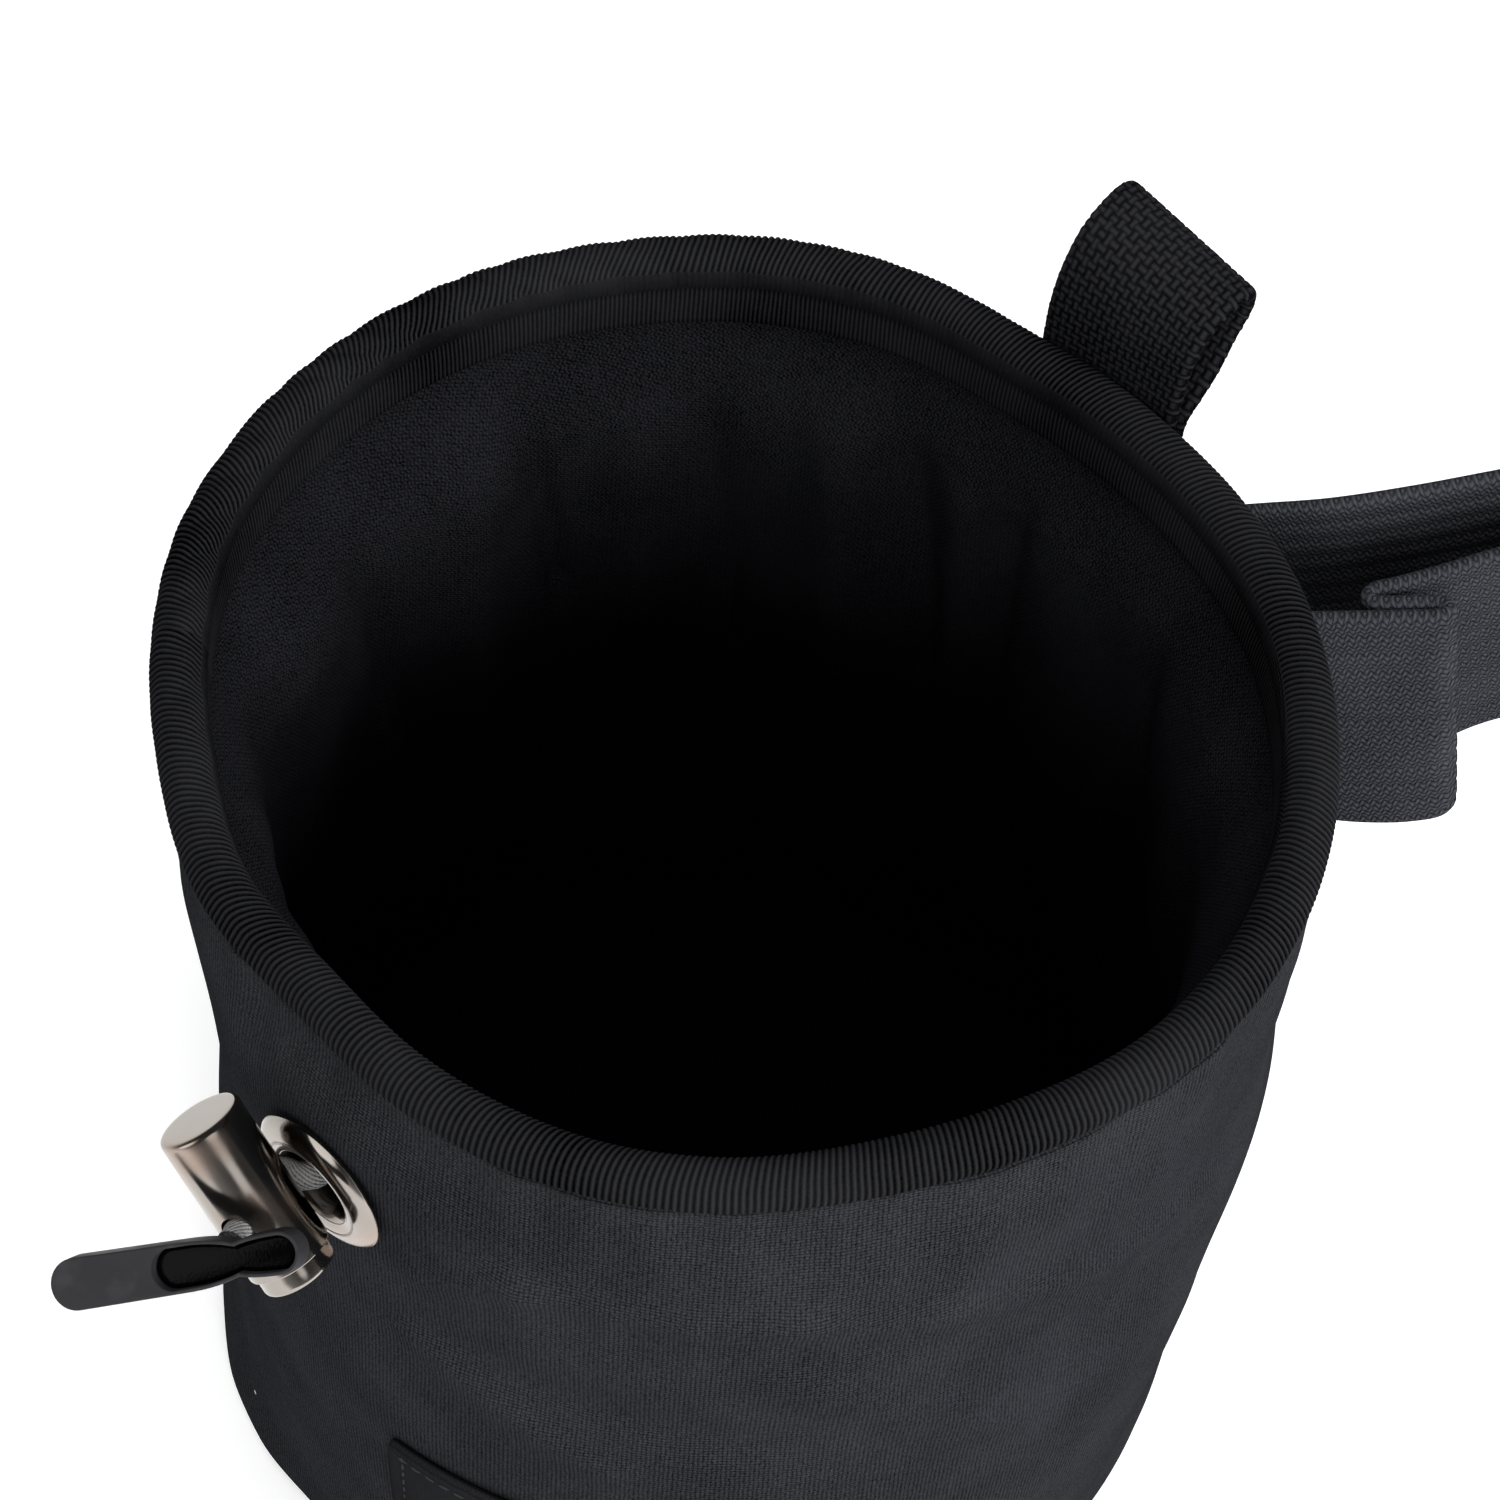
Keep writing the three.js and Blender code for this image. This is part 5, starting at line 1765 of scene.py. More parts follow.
@dataclass
class ElasticBand:
    """The wide ribbed elastic at the right, folded once and run out as a long loop.

    Attributes:
        form: The bag's shared form.
        width: The band's width.
        thickness: Its thickness between rolls.
        reach: How far the loop runs out.
        tilt: Slope of the band, in degrees.
        start: Where its upper edge leaves the wall.
        roll_pitch: Distance from roll to roll across the band.
        roll_rise: How far a roll stands up.
        line: Out, across and lean as shares of the reach.
    """

    form: BagForm = FORM
    width: float = 0.038
    thickness: float = 0.0013
    reach: float = 0.036
    tilt: float = 10.0
    start: tuple[float, float, float] = (0.0615, 0.024, 0.1244)
    roll_pitch: float = 0.00304
    roll_rise: float = 0.00032
    line: tuple[tuple[float, float, float], ...] = (
        (-0.13, 0.0, 0.0), (0.0, 0.0, -0.03), (0.14, 0.0, -0.05), (0.3, 0.0, -0.05),
        (0.4, 0.004, -0.03), (0.428, 0.026, -0.01), (0.4, 0.05, 0.0), (0.32, 0.054, 0.0),
        (0.24, 0.054, 0.0), (0.2, 0.06, 0.0), (0.182, 0.084, 0.0), (0.205, 0.108, 0.0),
        (0.26, 0.122, 0.03), (0.4, 0.165, 0.1), (0.58, 0.228, 0.12), (0.78, 0.29, 0.09),
        (0.95, 0.335, 0.05), (1.08, 0.39, 0.02), (1.13, 0.475, 0.0), (1.08, 0.56, 0.0),
        (0.95, 0.585, 0.0), (0.78, 0.572, 0.0), (0.58, 0.53, 0.0), (0.33, 0.478, 0.0),
        (0.07, 0.436, 0.0), (-0.19, 0.417, 0.0), (-0.42, 0.395, 0.0),
    )

    def place(self, share: np.ndarray, through: np.ndarray, down: np.ndarray) -> np.ndarray:
        """Finds points of the band.

        Args:
            share: Share along the band, from its near end.
            through: Share of the thickness from the middle.
            down: Share of the width from the upper edge.

        Returns:
            The points.
        """
        form = self.form
        table = np.array(self.line)
        edges = np.stack([table[:, 0], table[:, 1], table[:, 0], table[:, 1] + table[:, 2]], 1)
        line = smooth_line(edges * self.reach, 700)
        tangents = np.gradient(line, axis=0)
        tilt = math.radians(self.tilt)
        outwards = np.array([math.cos(tilt), 0, math.sin(tilt)])
        across = np.array([0.0, 1.0, 0.0])
        downwards = np.array([math.sin(tilt), 0, -math.cos(tilt)])
        roll = np.abs(np.sin(math.pi * down * self.width / self.roll_pitch)) ** 0.7

        def found(at: np.ndarray) -> np.ndarray:
            """Returns the points at shares before they are fitted to the wall.

            Args:
                at: Shares along the strip.

            Returns:
                The points.
            """
            point = sample(line, at)
            tangent = sample(tangents, at)
            low = down[..., None]
            middle = point[..., :2] * (1 - low) + point[..., 2:] * low
            run = tangent[..., :2] * (1 - low) + tangent[..., 2:] * low
            run = run / np.linalg.norm(run, axis=-1, keepdims=True)
            thick = through * (self.thickness + 2 * self.roll_rise * roll)
            x = middle[..., 0] + run[..., 1] * thick
            y = middle[..., 1] - run[..., 0] * thick
            return (
                np.array(self.start) + x[..., None] * outwards + y[..., None] * across
                + (down * self.width)[..., None] * downwards
            )

        points = found(share)
        for end, fade in ((0.0, 0.08), (1.0, 0.14)):
            seam = found(share * 0 + end)
            azimuth = np.arctan2(seam[..., 1], seam[..., 0])
            wall = form.shell_radius(azimuth, np.minimum(seam[..., 2], form.lining_top)) + form.clearance
            rise = np.abs(seam[..., 2] - form.height)
            bead = form.rim_radius(azimuth) + form.bead_radius + form.clearance
            least = np.maximum(wall, np.where(rise < form.bead_radius + form.clearance, bead, 0))
            radius = np.hypot(seam[..., 0], seam[..., 1])
            push = (np.maximum(least / radius, 1) - 1)[..., None]
            shift = seam * push * np.array([1, 1, 0])
            points = points + shift * np.clip(1 - np.abs(share - end) / fade, 0, 1)[..., None]
        return points

    def build(self) -> None:
        """Makes, dresses and hands over the band."""
        shares = np.linspace(0, 1, 420)
        middle = self.place(shares, np.zeros(1), np.full(1, 0.5))
        length = float(np.linalg.norm(np.diff(middle, axis=0), axis=1).sum())
        piece, *_ = strip_object("elastic_strap", self.place, shares, 105, length, self.width, 60)
        dress(piece, ELASTIC)
        hand_over(piece, Body.BAG, "elastic_band")


@dataclass(frozen=True)
class EyeletPlace:
    """Where the eyelet, the lock and the pull sit, and the directions that they share.

    Attributes:
        azimuth: Where the eyelet sits, in degrees.
        height: Height of the eyelet's centre.
        hole_radius: Radius of its hole.
        tube_wall: Thickness of its tube.
        lock_stand_off: How far the lock stands out from the eyelet.
        lock_fall: How far the lock sits below the eyelet, along its axis.
        lock_hole_offset: From the lock's middle to its hole.
        lock_hole_turn: Turn of the hole about the lock, in degrees.
        pull_reach: From the lock to the pull's neck.
        pull_direction: Direction in which the pull points.
    """

    azimuth: float = -129.0
    height: float = 0.1095
    hole_radius: float = 0.0042
    tube_wall: float = 0.0006
    lock_stand_off: float = 0.008
    lock_fall: float = 0.0026
    lock_hole_offset: float = 0.0024
    lock_hole_turn: float = 30.0
    pull_reach: float = 0.0092
    pull_direction: Vector = field(default_factory=lambda: Vector((-0.94, -0.06, -0.36)).normalized())

    @property
    def angle(self) -> float:
        """Azimuth in radians."""
        return math.radians(self.azimuth)

    @property
    def out(self) -> Vector:
        """Direction away from the wall."""
        return Vector((math.cos(self.angle), math.sin(self.angle), 0))

    @property
    def along(self) -> Vector:
        """Direction along the wall."""
        return Vector((-math.sin(self.angle), math.cos(self.angle), 0))

    @property
    def centre(self) -> Vector:
        """Centre of the eyelet on the wall."""
        seat = float(FORM.shell_radius(np.array(self.angle), np.array(self.height)))
        return self.out * seat + Vector((0, 0, self.height))

    @property
    def tube_radius(self) -> float:
        """Outside of the tube that passes through the wall."""
        return self.hole_radius + self.tube_wall

    @property
    def lock_axis(self) -> Vector:
        """Direction in which the plunger stands out of the barrel."""
        return (self.along - Vector((0, 0, 1))).normalized()

    @property
    def lock_lift(self) -> Vector:
        """Direction across the barrel, up and along the wall."""
        return (self.along + Vector((0, 0, 1))).normalized()

    @property
    def lock_centre(self) -> Vector:
        """Middle of the barrel."""
        return self.centre + self.out * self.lock_stand_off - self.lock_axis * (
            self.lock_hole_offset + self.lock_fall
        )

    @property
    def hole_direction(self) -> Vector:
        """Direction of the cord through the lock."""
        turn = math.radians(self.lock_hole_turn)
        return self.out * math.cos(turn) + self.lock_lift * math.sin(turn)

    @property
    def hole_centre(self) -> Vector:
        """Middle of the cord's hole through the lock."""
        return self.lock_centre + self.lock_axis * self.lock_hole_offset

    @property
    def pull_face(self) -> Vector:
        """Direction that the pull's flat face looks in."""
        face = Vector((0, -0.572, 0.82))
        return (face - self.pull_direction * face.dot(self.pull_direction)).normalized()

    @property
    def pull_neck(self) -> Vector:
        """Place where the cord meets the pull."""
        return self.hole_centre + self.hole_direction * self.pull_reach


EYELET = EyeletPlace()


@dataclass
class Eyelet:
    """The polished ring at the front left, where the drawcord leaves its channel.

    Attributes:
        radius: Outside of the ring.
        proud: How far the ring stands out.
        back_flange: Width of the flange behind the wall.
    """

    radius: float = 0.00875
    proud: float = 0.0022
    back_flange: float = 0.0012

    def build(self) -> None:
        """Turns, dresses and hands over the eyelet."""
        hole = EYELET.hole_radius
        tube = EYELET.tube_radius
        flange = tube + self.back_flange
        back = FORM.shell_wall + FORM.clearance + flange**2 / (2 * FORM.mouth_radius)
        seat = FORM.clearance
        rows = [
            (hole, -back - 0.0007), (flange, -back - 0.0007), (flange, -back), (tube, -back), (tube, seat),
            (self.radius - 0.0005, seat), (self.radius, seat + 0.0004),
            (self.radius - 0.0004, self.proud * 0.62),
            (self.radius - 0.0019, self.proud * 0.94), (hole + 0.0013, self.proud),
            (hole + 0.0003, self.proud * 0.72), (hole, self.proud * 0.2), (hole, -back - 0.0007),
        ]
        radii = [0, 0.0002, 0.0002, 0, 0, 0.0002, 0.00025, 0.0007, 0.0009, 0.0008, 0.0005, 0.0003, 0]
        piece = lathe_object("eyelet_ring", rounded(rows, radii), EYELET.centre, EYELET.out, 128)
        dress(piece, GUNMETAL)
        hand_over(piece, Body.BAG, "eyelet")


@dataclass
class CordLock:
    """The round metal lock: a barrel with a bore, and the sprung plunger in it.

    Attributes:
        diameter: The barrel's diameter.
        length: The barrel's length.
        edge: Width of the rounded edge.
        bore_radius: Radius of the bore.
        bore_depth: Depth of the bore.
        hole_diameter: Diameter of the cord's hole.
        running_gap: Gap round the plunger.
        proud: How far the plunger stands out.
        inside: How far it reaches in.
        travel: How far it can be pressed.
    """

    diameter: float = 0.0094
    length: float = 0.018
    edge: float = 0.0007
    bore_radius: float = 0.00425
    bore_depth: float = 0.015
    hole_diameter: float = 0.0038
    running_gap: float = 0.0001
    proud: float = 0.0023
    inside: float = 0.011
    travel: float = 0.002

    def build(self) -> list[bpy.types.Object]:
        """Makes, dresses and hands over both parts.

        Returns:
            The barrel and the plunger.
        """
        radius = self.diameter / 2
        half = self.length / 2
        bore_end = half - self.bore_depth
        side = [
            (radius, -half + self.edge + step / 30 * (self.length - self.edge - 0.0003)) for step in range(
                1, 30
            )
        ]
        rows = [(0, -half), (radius - 0.0012, -half), (radius, -half), *side, (radius, half)]
        radii = [0, 0, self.edge, *([0] * len(side)), 0.0002]
        inner = [(self.bore_radius, half)]
        inner += [(self.bore_radius, half - (half - bore_end) * step / 20) for step in range(1, 21)]
        rows += [*inner, (0, bore_end)]
        radii += [0.00008, *([0] * 20), 0]
        barrel = lathe_object("lock_barrel", rounded(rows, radii), EYELET.lock_centre, EYELET.lock_axis, 96)
        hole_radius = self.hole_diameter / 2
        reach = radius + 0.002
        tool = lathe_object(
            "hole_tool", [(0, -reach), (hole_radius, -reach), (hole_radius, reach), (0, reach)],
            EYELET.hole_centre, EYELET.hole_direction, 48,
        )
        barrel = cut(barrel, tool)
        plunger_radius = self.bore_radius - self.running_gap
        start = half - self.inside
        end = half + self.proud
        side = [(plunger_radius, start + (end - 0.0009 - start) * step / 24) for step in range(1, 24)]
        rows = [(0, start), (plunger_radius, start), *side, (plunger_radius, end), (0, end)]
        radii = [0, 0.0001, *([0] * len(side)), 0.0006, 0]
        plunger = lathe_object(
            "lock_plunger", rounded(rows, radii), EYELET.lock_centre, EYELET.lock_axis, 96
        )
        slot_half = (self.hole_diameter + self.travel) / 2
        across = EYELET.lock_axis.cross(EYELET.hole_direction)
        middle = EYELET.hole_centre + EYELET.lock_axis * (self.travel / 2)
        bpy.ops.mesh.primitive_cube_add(size=2)
        tool = bpy.context.active_object
        tool.matrix_world = frame_of(
            across * hole_radius, EYELET.lock_axis * slot_half, EYELET.hole_direction * radius, middle
        )
        plunger = cut(plunger, tool)
        for piece in (barrel, plunger):
            piece.data.set_sharp_from_angle(angle=math.radians(40))
            dress(piece, GUNMETAL)
        hand_over(barrel, Body.BAG, "cord_lock_barrel")
        hand_over(plunger, Body.PLUNGER, "cord_lock_plunger")
        return [barrel, plunger]


@dataclass
class CordPull:
    """The moulded pull at the cord's end: a tongue and a ring with one hollow along both.

    Attributes:
        length: The pull's length.
        width: The pull's width.
        thickness: The pull's thickness.
        neck_to_ring: From the cord's place to the middle of the ring.
        wall: Width of the rubber round the hollow.
        floor: Thickness of the rubber under the hollow.
        edge: Radius of the rounded edges.
        inlay_gap: Space between the hollow's floor and the plate of painted shade.
        inlay_top: Height of the plate's face above the pull's middle.
        inlay_edge: Radius of the plate's edges.
    """

    length: float = 0.0272
    width: float = 0.0054
    thickness: float = 0.0032
    neck_to_ring: float = 0.007
    wall: float = 0.0004
    floor: float = 0.0008
    edge: float = 0.00015
    inlay_gap: float = 0.00005
    inlay_top: float = 0.0004
    inlay_edge: float = 0.0005

    @staticmethod
    def bend(
        start: tuple[float, float], knee: tuple[float, float], end: tuple[float, float]
    ) -> list[tuple[float, float]]:
        """Samples a quadratic curve without its last point.

        Args:
            start: Its first point.
            knee: The point that it bends towards.
            end: Its last point.

        Returns:
            The points.
        """
        curve = []
        for step in range(10):
            share = step / 10
            weights = ((1 - share) ** 2, 2 * share * (1 - share), share**2)
            curve.append(
                tuple(sum(w * p[axis] for w, p in zip(weights, (start, knee, end))) for axis in (0, 1))
            )
        return curve

    @staticmethod
    def arc(centre: float, radius: float, first: float, last: float) -> list[tuple[float, float]]:
        """Samples an arc about a point of the middle line, ends included."""
        angles = np.linspace(first, last, 25)
        return [(centre + radius * math.cos(angle), radius * math.sin(angle)) for angle in angles]

    def outlines(self) -> list[list[tuple[float, float]]]:
        """Draws the pull's outline and that of its hollow.

        Returns:
            Two closed outlines, from the ring's centre.
        """
        half = self.width / 2
        flank = half * 0.95
        ring = self.width * 0.41
        neck = ring * 0.78
        tip = self.length - ring
        long = self.length
        upper = [
            *self.bend((0, ring), (long * 0.11, ring), (long * 0.17, neck)),
            *self.bend((long * 0.17, neck), (long * 0.26, flank), (long * 0.38, flank)),
            (long * 0.38, flank),
        ]
        end = self.arc(tip - half, half, math.pi / 2, -math.pi / 2)
        lower = [(x, -y) for x, y in reversed(upper)]
        back = self.arc(0, ring, -math.pi / 2, -3 * math.pi / 2)[1:-1]
        radius = flank - self.wall
        hollow = [(x, y - self.wall) for x, y in upper[:-1]] + self.arc(
            long * 0.43, radius, math.pi / 2, -math.pi / 2
        )
        hollow += [(x, self.wall - y) for x, y in reversed(upper[:-1])]
        hollow += self.arc(0, ring - self.wall, -math.pi / 2, -3 * math.pi / 2)[1:-1]
        return [upper + end + lower + back, hollow]

    def mould(self, name: str, outline: list, low: float, high: float) -> bpy.types.Object:
        """Moulds a straight-sided body from a closed outline.

        Args:
            name: The piece's name.
            outline: Its outline, from the ring's centre.
            low: Height of its underside from the pull's middle.
            high: Height of its upper side.

        Returns:
            The body, laid in its place.
        """
        kept = [
            now for now,
            last in zip(outline, outline[-1:] + outline[:-1]) if math.dist(now, last) > 0.00002
        ]
        count = len(kept)
        points = [(x - self.neck_to_ring, y, height) for height in (low, high) for x, y in kept]
        faces = [list(range(count)), list(range(2 * count - 1, count - 1, -1))]
        faces += [[i, i + count, (i + 1) % count + count, (i + 1) % count] for i in range(count)]
        mesh = bpy.data.meshes.new(name)
        mesh.from_pydata(points, [], faces)
        across = EYELET.pull_face.cross(EYELET.pull_direction)
        mesh.transform(frame_of(EYELET.pull_direction, across, EYELET.pull_face, EYELET.pull_neck))
        piece = make_object(name, mesh)
        face_outwards(piece)
        return piece

    def soften(self, piece: bpy.types.Object, edge: float) -> bpy.types.Object:
        """Rounds the sharp edges of a piece and smooths its flanks.

        Args:
            piece: The piece.
            edge: Radius of its edges.

        Returns:
            The piece as a plain mesh.
        """
        modifier = piece.modifiers.new("edges", "BEVEL")
        modifier.width = edge
        modifier.segments = 3
        modifier.limit_method = "ANGLE"
        modifier.angle_limit = math.radians(50)
        piece = plain_copy(piece)
        piece.data.shade_smooth()
        piece.data.set_sharp_from_angle(angle=math.radians(50))
        return piece

    def build(self) -> list[bpy.types.Object]:
        """Moulds, dresses and hands over the pull and the near-black plate in its hollow, which is painted
        shade.

        Returns:
            The pull and its plate of painted shade.
        """
        outline, hollow = self.outlines()
        half = self.thickness / 2
        tongue = self.mould("pull_tongue", outline, -half, half)
        tongue = cut(tongue, self.mould("hollow", hollow, self.floor - half, half + 0.001))
        tongue = self.soften(tongue, self.edge)
        dress(tongue, PULL_RUBBER)
        hand_over(tongue, Body.BAG, "cord_pull")
        # A near-black plate on the hollow's floor: painted shade for the dark inside of the hollow.
        painted_shade = self.mould("pull_inlay", hollow, self.floor - half + self.inlay_gap, self.inlay_top)
        painted_shade = self.soften(painted_shade, self.inlay_edge)
        dress(painted_shade, PULL_PAINTED_SHADE)
        hand_over(painted_shade, Body.BAG)
        return [tongue, painted_shade]


@dataclass
class Drawcord:
    """The cord in its channel, out through the eyelet and the lock to the pull.

    Attributes:
        diameter: The cord's diameter.
        ring: Azimuth in degrees, radius and height in its channel.
        exit: Steps from the eyelet's centre: along the wall, outwards and up.
    """

    diameter: float = 0.003
    ring: tuple[tuple[float, float, float], ...] = (
        (-119, 0.058, 0.107), (-112, 0.0581, 0.1075), (-90, 0.0582, 0.1075), (-60, 0.0583, 0.1075),
        (-30, 0.0588, 0.1075), (0, 0.0592, 0.1075), (30, 0.0585, 0.1075), (60, 0.0578, 0.1075),
        (90, 0.0581, 0.1075), (120, 0.0578, 0.1075), (150, 0.0574, 0.1075), (180, 0.0568, 0.1075),
        (200, 0.0564, 0.1075), (213, 0.0572, 0.108),
    )
    exit: tuple[tuple[float, float, float], ...] = (
        (-0.0114, -0.0043, -0.0009), (-0.007, -0.0045, -0.0012), (-0.0035, -0.0048, -0.0012),
        (-0.0014, -0.0027, -0.0012), (-0.0014, 0.0, -0.0012), (-0.0025, 0.0016, -0.0009),
    )

    def route(self) -> np.ndarray:
        """Finds the cord's centre line.

        Returns:
            Equally spaced points from the cord's far end in the channel to the pull.
        """
        points = [
            Vector((radius * math.cos(math.radians(angle)), radius * math.sin(math.radians(angle)), height))
            for angle, radius, height in self.ring
        ]
        up = Vector((0, 0, 1))
        for along, out, rise in self.exit:
            points.append(EYELET.centre + EYELET.along * along + EYELET.out * out + up * rise)
        slant = EYELET.pull_face.angle(EYELET.hole_direction)
        end = EYELET.pull_reach - 0.0019 / math.cos(slant) - self.diameter / 2 * math.tan(slant)
        for reach in (-0.0062, 0.0, end):
            points.append(EYELET.hole_centre + EYELET.hole_direction * reach)
        return smooth_line(np.array([tuple(point) for point in points]), 900)

    def build(self, with_pieces: list[bpy.types.Object]) -> None:
        """Args:
            with_pieces: The lock and the pull; not used.
        """
        path = self.route()
        tangents = np.gradient(path, axis=0)
        tangents /= np.linalg.norm(tangents, axis=1, keepdims=True)
        sides = np.cross(tangents, np.array([0.12, 0.2, 1.0]))
        sides /= np.linalg.norm(sides, axis=1, keepdims=True)
        lifts = np.cross(sides, tangents)
        turns = np.arange(24) / 24 * TURN
        length = float(np.linalg.norm(np.diff(path, axis=0), axis=1).sum())
        places = np.linspace(0, length, len(path))
        braid = 1 + 0.025 * np.sin(places[:, None] / 0.0016 * TURN + 4 * turns[None, :])
        radius = self.diameter / 2 * braid
        points = (
            path[:, None] + radius[..., None] * np.cos(turns)[None, :, None] * sides[:, None]
            + radius[..., None] * np.sin(turns)[None, :, None] * lifts[:, None]
        )
        texture = np.empty((len(path) + 1, 25, 2))
        texture[:-1, :, 1] = (places / MM)[:, None]
        texture[-1, :, 1] = length / MM
        texture[..., 0] = (np.arange(25) / 24 * math.pi * self.diameter / MM)[None, :]
        piece = grid_object("draw_cord", points, texture, False, True)
        cap_ends(piece, *points.shape[:2])
        face_outwards(piece)
        dress(piece, CORD_BRAID)
        hand_over(piece, Body.BAG, "drawcord")


@dataclass
class LabelPatch:
    """The bare patch sewn low on the front.

    Attributes:
        form: The bag's shared form.
        width: The patch's width round the wall.
        height: The patch's height.
        thickness: The patch's thickness.
        top: Height of its upper edge.
        left: Azimuth of its left edge, in degrees.
    """

    form: BagForm = FORM
    width: float = 0.056
    height: float = 0.023
    thickness: float = 0.0012
    top: float = 0.058
    left: float = -121.4

    def place(self, share: np.ndarray, through: np.ndarray, rise: np.ndarray) -> np.ndarray:
        """Finds points of the patch.

        Args:
            share: Share along the patch.
            through: Share of the thickness from the middle, outwards.
            rise: Share of the height from the lower edge.

        Returns:
            The points.
        """
        azimuth = math.radians(self.left) + share * self.width / self.form.mouth_radius + 0 * rise
        height = self.top - (1 - rise) * self.height + 0 * share
        edge = np.minimum(
            np.minimum(share, 1 - share) * self.width, np.minimum(rise, 1 - rise) * self.height
        )
        border = 0.00022 * np.exp(-(((edge - 0.0007) / 0.0006) ** 2))
        waves = 0.0002 * lattice_noise(azimuth * 6, height / 0.011, 41)
        middle = self.form.shell_radius(azimuth, height) + self.form.clearance * 1.5 + self.thickness / 2
        return polar(middle + through * self.thickness + (border + waves) * (through > 0), azimuth, height)

    def build(self) -> None:
        """Makes, dresses and hands over the patch."""
        shares = np.linspace(0, 1, 180)
        piece, *_ = strip_object("label_plain", self.place, shares, 80, self.width, self.height, 90)
        dress(piece, LABEL_CLOTH)
        hand_over(piece, Body.BAG, "label_patch")
        left = []
        for share, low, high in ((0.035, 0.06, 0.94),):
            rise = np.linspace(low, high, 40)
            left.append(self.place(np.full(40, share), np.full(40, 0.56), rise))
        run = np.linspace(0.035, 0.965, 120)
        left.append(self.place(run, np.full(120, 0.56), np.full(120, 0.93)))
        seam = Seam("label_stitches", 0.0019, 0.0015, 0.0003, seed=7).sew(left)
        hand_over(seam)


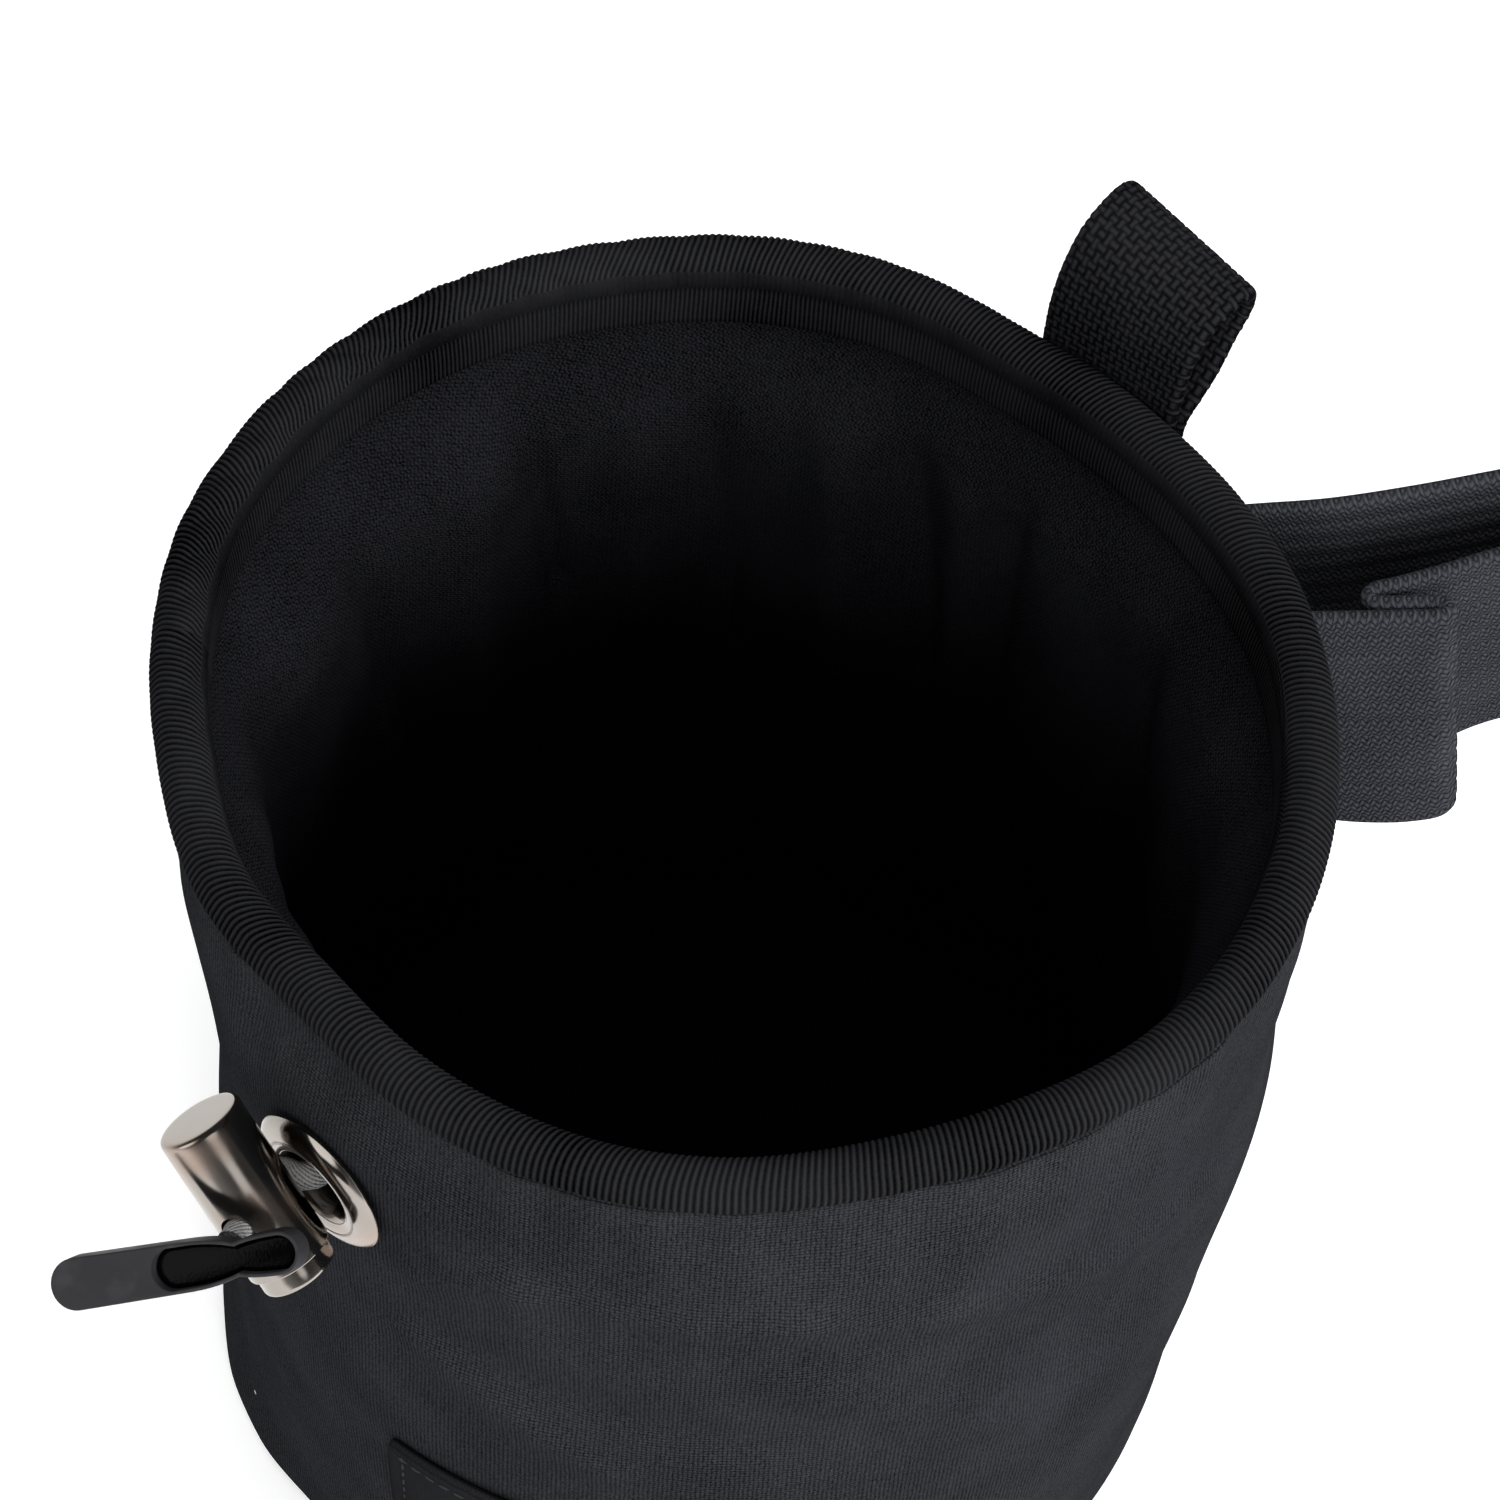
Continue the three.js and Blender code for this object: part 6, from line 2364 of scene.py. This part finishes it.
@dataclass
class Studio:
    """The pale floor, the soft lights and the camera.

    Attributes:
        mouth: Middle of the bag's mouth, which the camera is placed from.
        distance: From the mouth to the camera.
        elevation: The camera's height angle, in degrees.
        roll: The camera's roll, in degrees.
        lens: Focal length in millimetres.
        shift: The picture's shift in shares of its width.
        even_light: Strength of the light from all sides.
        floor_glow: How much the floor shines by itself, to stay white.
        windows: Bright patches that the metal mirrors: direction, outer and inner cosine, strength.
    """

    mouth: tuple[float, float, float] = (0.0, 0.0, 0.135)
    distance: float = 0.4723
    elevation: float = 55.08
    roll: float = 4.79
    lens: float = 108.0
    shift: tuple[float, float] = (0.0065, -0.0395)
    even_light: float = 0.62
    floor_glow: float = 0.3
    windows: tuple[tuple[tuple[float, float, float], float, float, float], ...] = (
        ((-0.9, -0.6, 0.45), 0.9, 0.95, 1.8),
        ((0.5, -0.75, 0.6), 0.95, 0.98, 1.4),
    )

    def camera(self) -> None:
        """Sets the camera at the photograph's angle."""
        rise = math.radians(self.elevation)
        roll = math.radians(self.roll)
        back = Vector((0, -math.cos(rise), math.sin(rise)))
        right = Vector((1, 0, 0))
        up = Vector((0, math.sin(rise), math.cos(rise)))
        data = bpy.data.cameras.new("camera")
        data.lens = self.lens
        data.sensor_width = 36.0
        data.sensor_fit = "HORIZONTAL"
        data.shift_x, data.shift_y = self.shift
        data.clip_start = 0.01
        camera = bpy.data.objects.new("camera", data)
        camera.matrix_world = frame_of(
            right * math.cos(roll) + up * math.sin(roll),
            up * math.cos(roll) - right * math.sin(roll),
            back,
            Vector(self.mouth) + back * self.distance,
        )
        bpy.context.scene.collection.objects.link(camera)
        bpy.context.scene.camera = camera

    def floor(self) -> None:
        """Lays the pale floor."""
        mesh = bpy.data.meshes.new("floor")
        mesh.from_pydata([(-3, -3, 0), (3, -3, 0), (3, 3, 0), (-3, 3, 0)], [], [(0, 1, 2, 3)])
        floor = make_object("floor", mesh)
        material = bpy.data.materials.new("floor_white")
        material.use_nodes = True
        shader = material.node_tree.nodes["Principled BSDF"]
        shader.inputs["Base Color"].default_value = (0.9, 0.9, 0.9, 1)
        shader.inputs["Emission Color"].default_value = (1, 1, 1, 1)
        shader.inputs["Emission Strength"].default_value = self.floor_glow
        shader.inputs["Roughness"].default_value = 0.9
        shader.inputs["Specular IOR Level"].default_value = 0.1
        mesh.materials.append(material)
        floor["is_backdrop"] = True

    def light(self, name: str, place: tuple[float, float, float], size: float, power: float) -> None:
        """Hangs a square soft light that looks at the bag.

        Args:
            name: The light's name.
            place: Where it hangs.
            size: Its side.
            power: Its strength in watts.
        """
        data = bpy.data.lights.new(name, "AREA")
        data.shape = "SQUARE"
        data.size = size
        data.energy = power
        lamp = bpy.data.objects.new(name, data)
        lamp.visible_glossy = False
        aim = Vector((0, 0, 0.08)) - Vector(place)
        lamp.matrix_world = Matrix.Translation(place) @ aim.to_track_quat("-Z", "Y").to_matrix().to_4x4()
        bpy.context.scene.collection.objects.link(lamp)

    def sky(self) -> None:
        """Surrounds the bag with even light, and with a dark room for its polished metal to mirror."""
        world = bpy.data.worlds.new("studio")
        world.use_nodes = True
        sheet = NodeSheet(world.node_tree)
        sky = world.node_tree.nodes["Background"]
        direction = sheet.add("ShaderNodeTexCoord").outputs["Generated"]
        height = sheet.add("ShaderNodeSeparateXYZ", {0: direction}).outputs[2]
        room = sheet.ramp(height, -0.2, 0.5, 0.5, 0.04)

        def window(
            aim: tuple[float, float, float], wide: float, narrow: float, power: float
        ) -> bpy.types.NodeSocket:
            """Returns a soft bright patch of the room.

            Args:
                aim: The patch's direction.
                wide: Cosine at its outer edge.
                narrow: Cosine at its full strength.
                power: Its strength.

            Returns:
                The patch's brightness.
            """
            goal = Vector(aim).normalized()
            near = sheet.add("ShaderNodeVectorMath", {0: direction, 1: goal}, operation="DOT_PRODUCT")
            return sheet.ramp(near.outputs["Value"], wide, narrow, 0.0, power)

        left, right = (window(*given) for given in self.windows)
        patches = sheet.math("ADD", left, right)
        mirrored = sheet.math("ADD", room, patches)
        glossy = sheet.add("ShaderNodeLightPath").outputs["Is Glossy Ray"]
        even = sheet.math("MULTIPLY", sheet.math("SUBTRACT", 1.0, glossy), self.even_light)
        strength = sheet.math("ADD", even, sheet.math("MULTIPLY", glossy, mirrored))
        sheet.tree.links.new(strength, sky.inputs["Strength"])
        sky.inputs["Color"].default_value = (1, 1, 1, 1)
        bpy.context.scene.world = world

    def build(self) -> None:
        """Sets up the camera, the floor and the lights."""
        self.camera()
        self.floor()
        self.sky()
        self.light("soft_front", (0.1, -0.9, 0.75), 0.5, 6.5)
        self.light("soft_right", (0.9, -0.35, 0.5), 0.4, 10.0)
        self.light("soft_top", (0.0, -0.1, 1.1), 0.5, 3.0)
        bpy.context.scene.view_settings.view_transform = "Standard"


def dress_node(node: str, finish: ClothFinish | MetalFinish | RubberFinish) -> None:
    """Gives a CAD node that stays its finish.

    Args:
        node: The node's name.
        finish: Its finish.
    """
    piece = bpy.data.objects[node]
    material = bpy.data.materials.get(finish.name) or finish.make()
    for slot in piece.material_slots:
        slot.material = material


def main() -> list[list[float]]:
    """Builds the whole bag.

    Returns:
        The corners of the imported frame's box.
    """
    logging.basicConfig(level=logging.INFO, format="%(message)s")
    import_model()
    frame_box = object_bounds()
    Studio().build()
    lock = CordLock().build()
    pull = CordPull().build()
    Drawcord().build([*lock, *pull])
    Eyelet().build()
    Shell().build()
    Lining().build()
    Binding().build()
    HangLoop().build()
    ElasticBand().build()
    LabelPatch().build()
    return [list(corner) for corner in frame_box]


if __name__ == "__main__":
    FRAME_BOX = main()
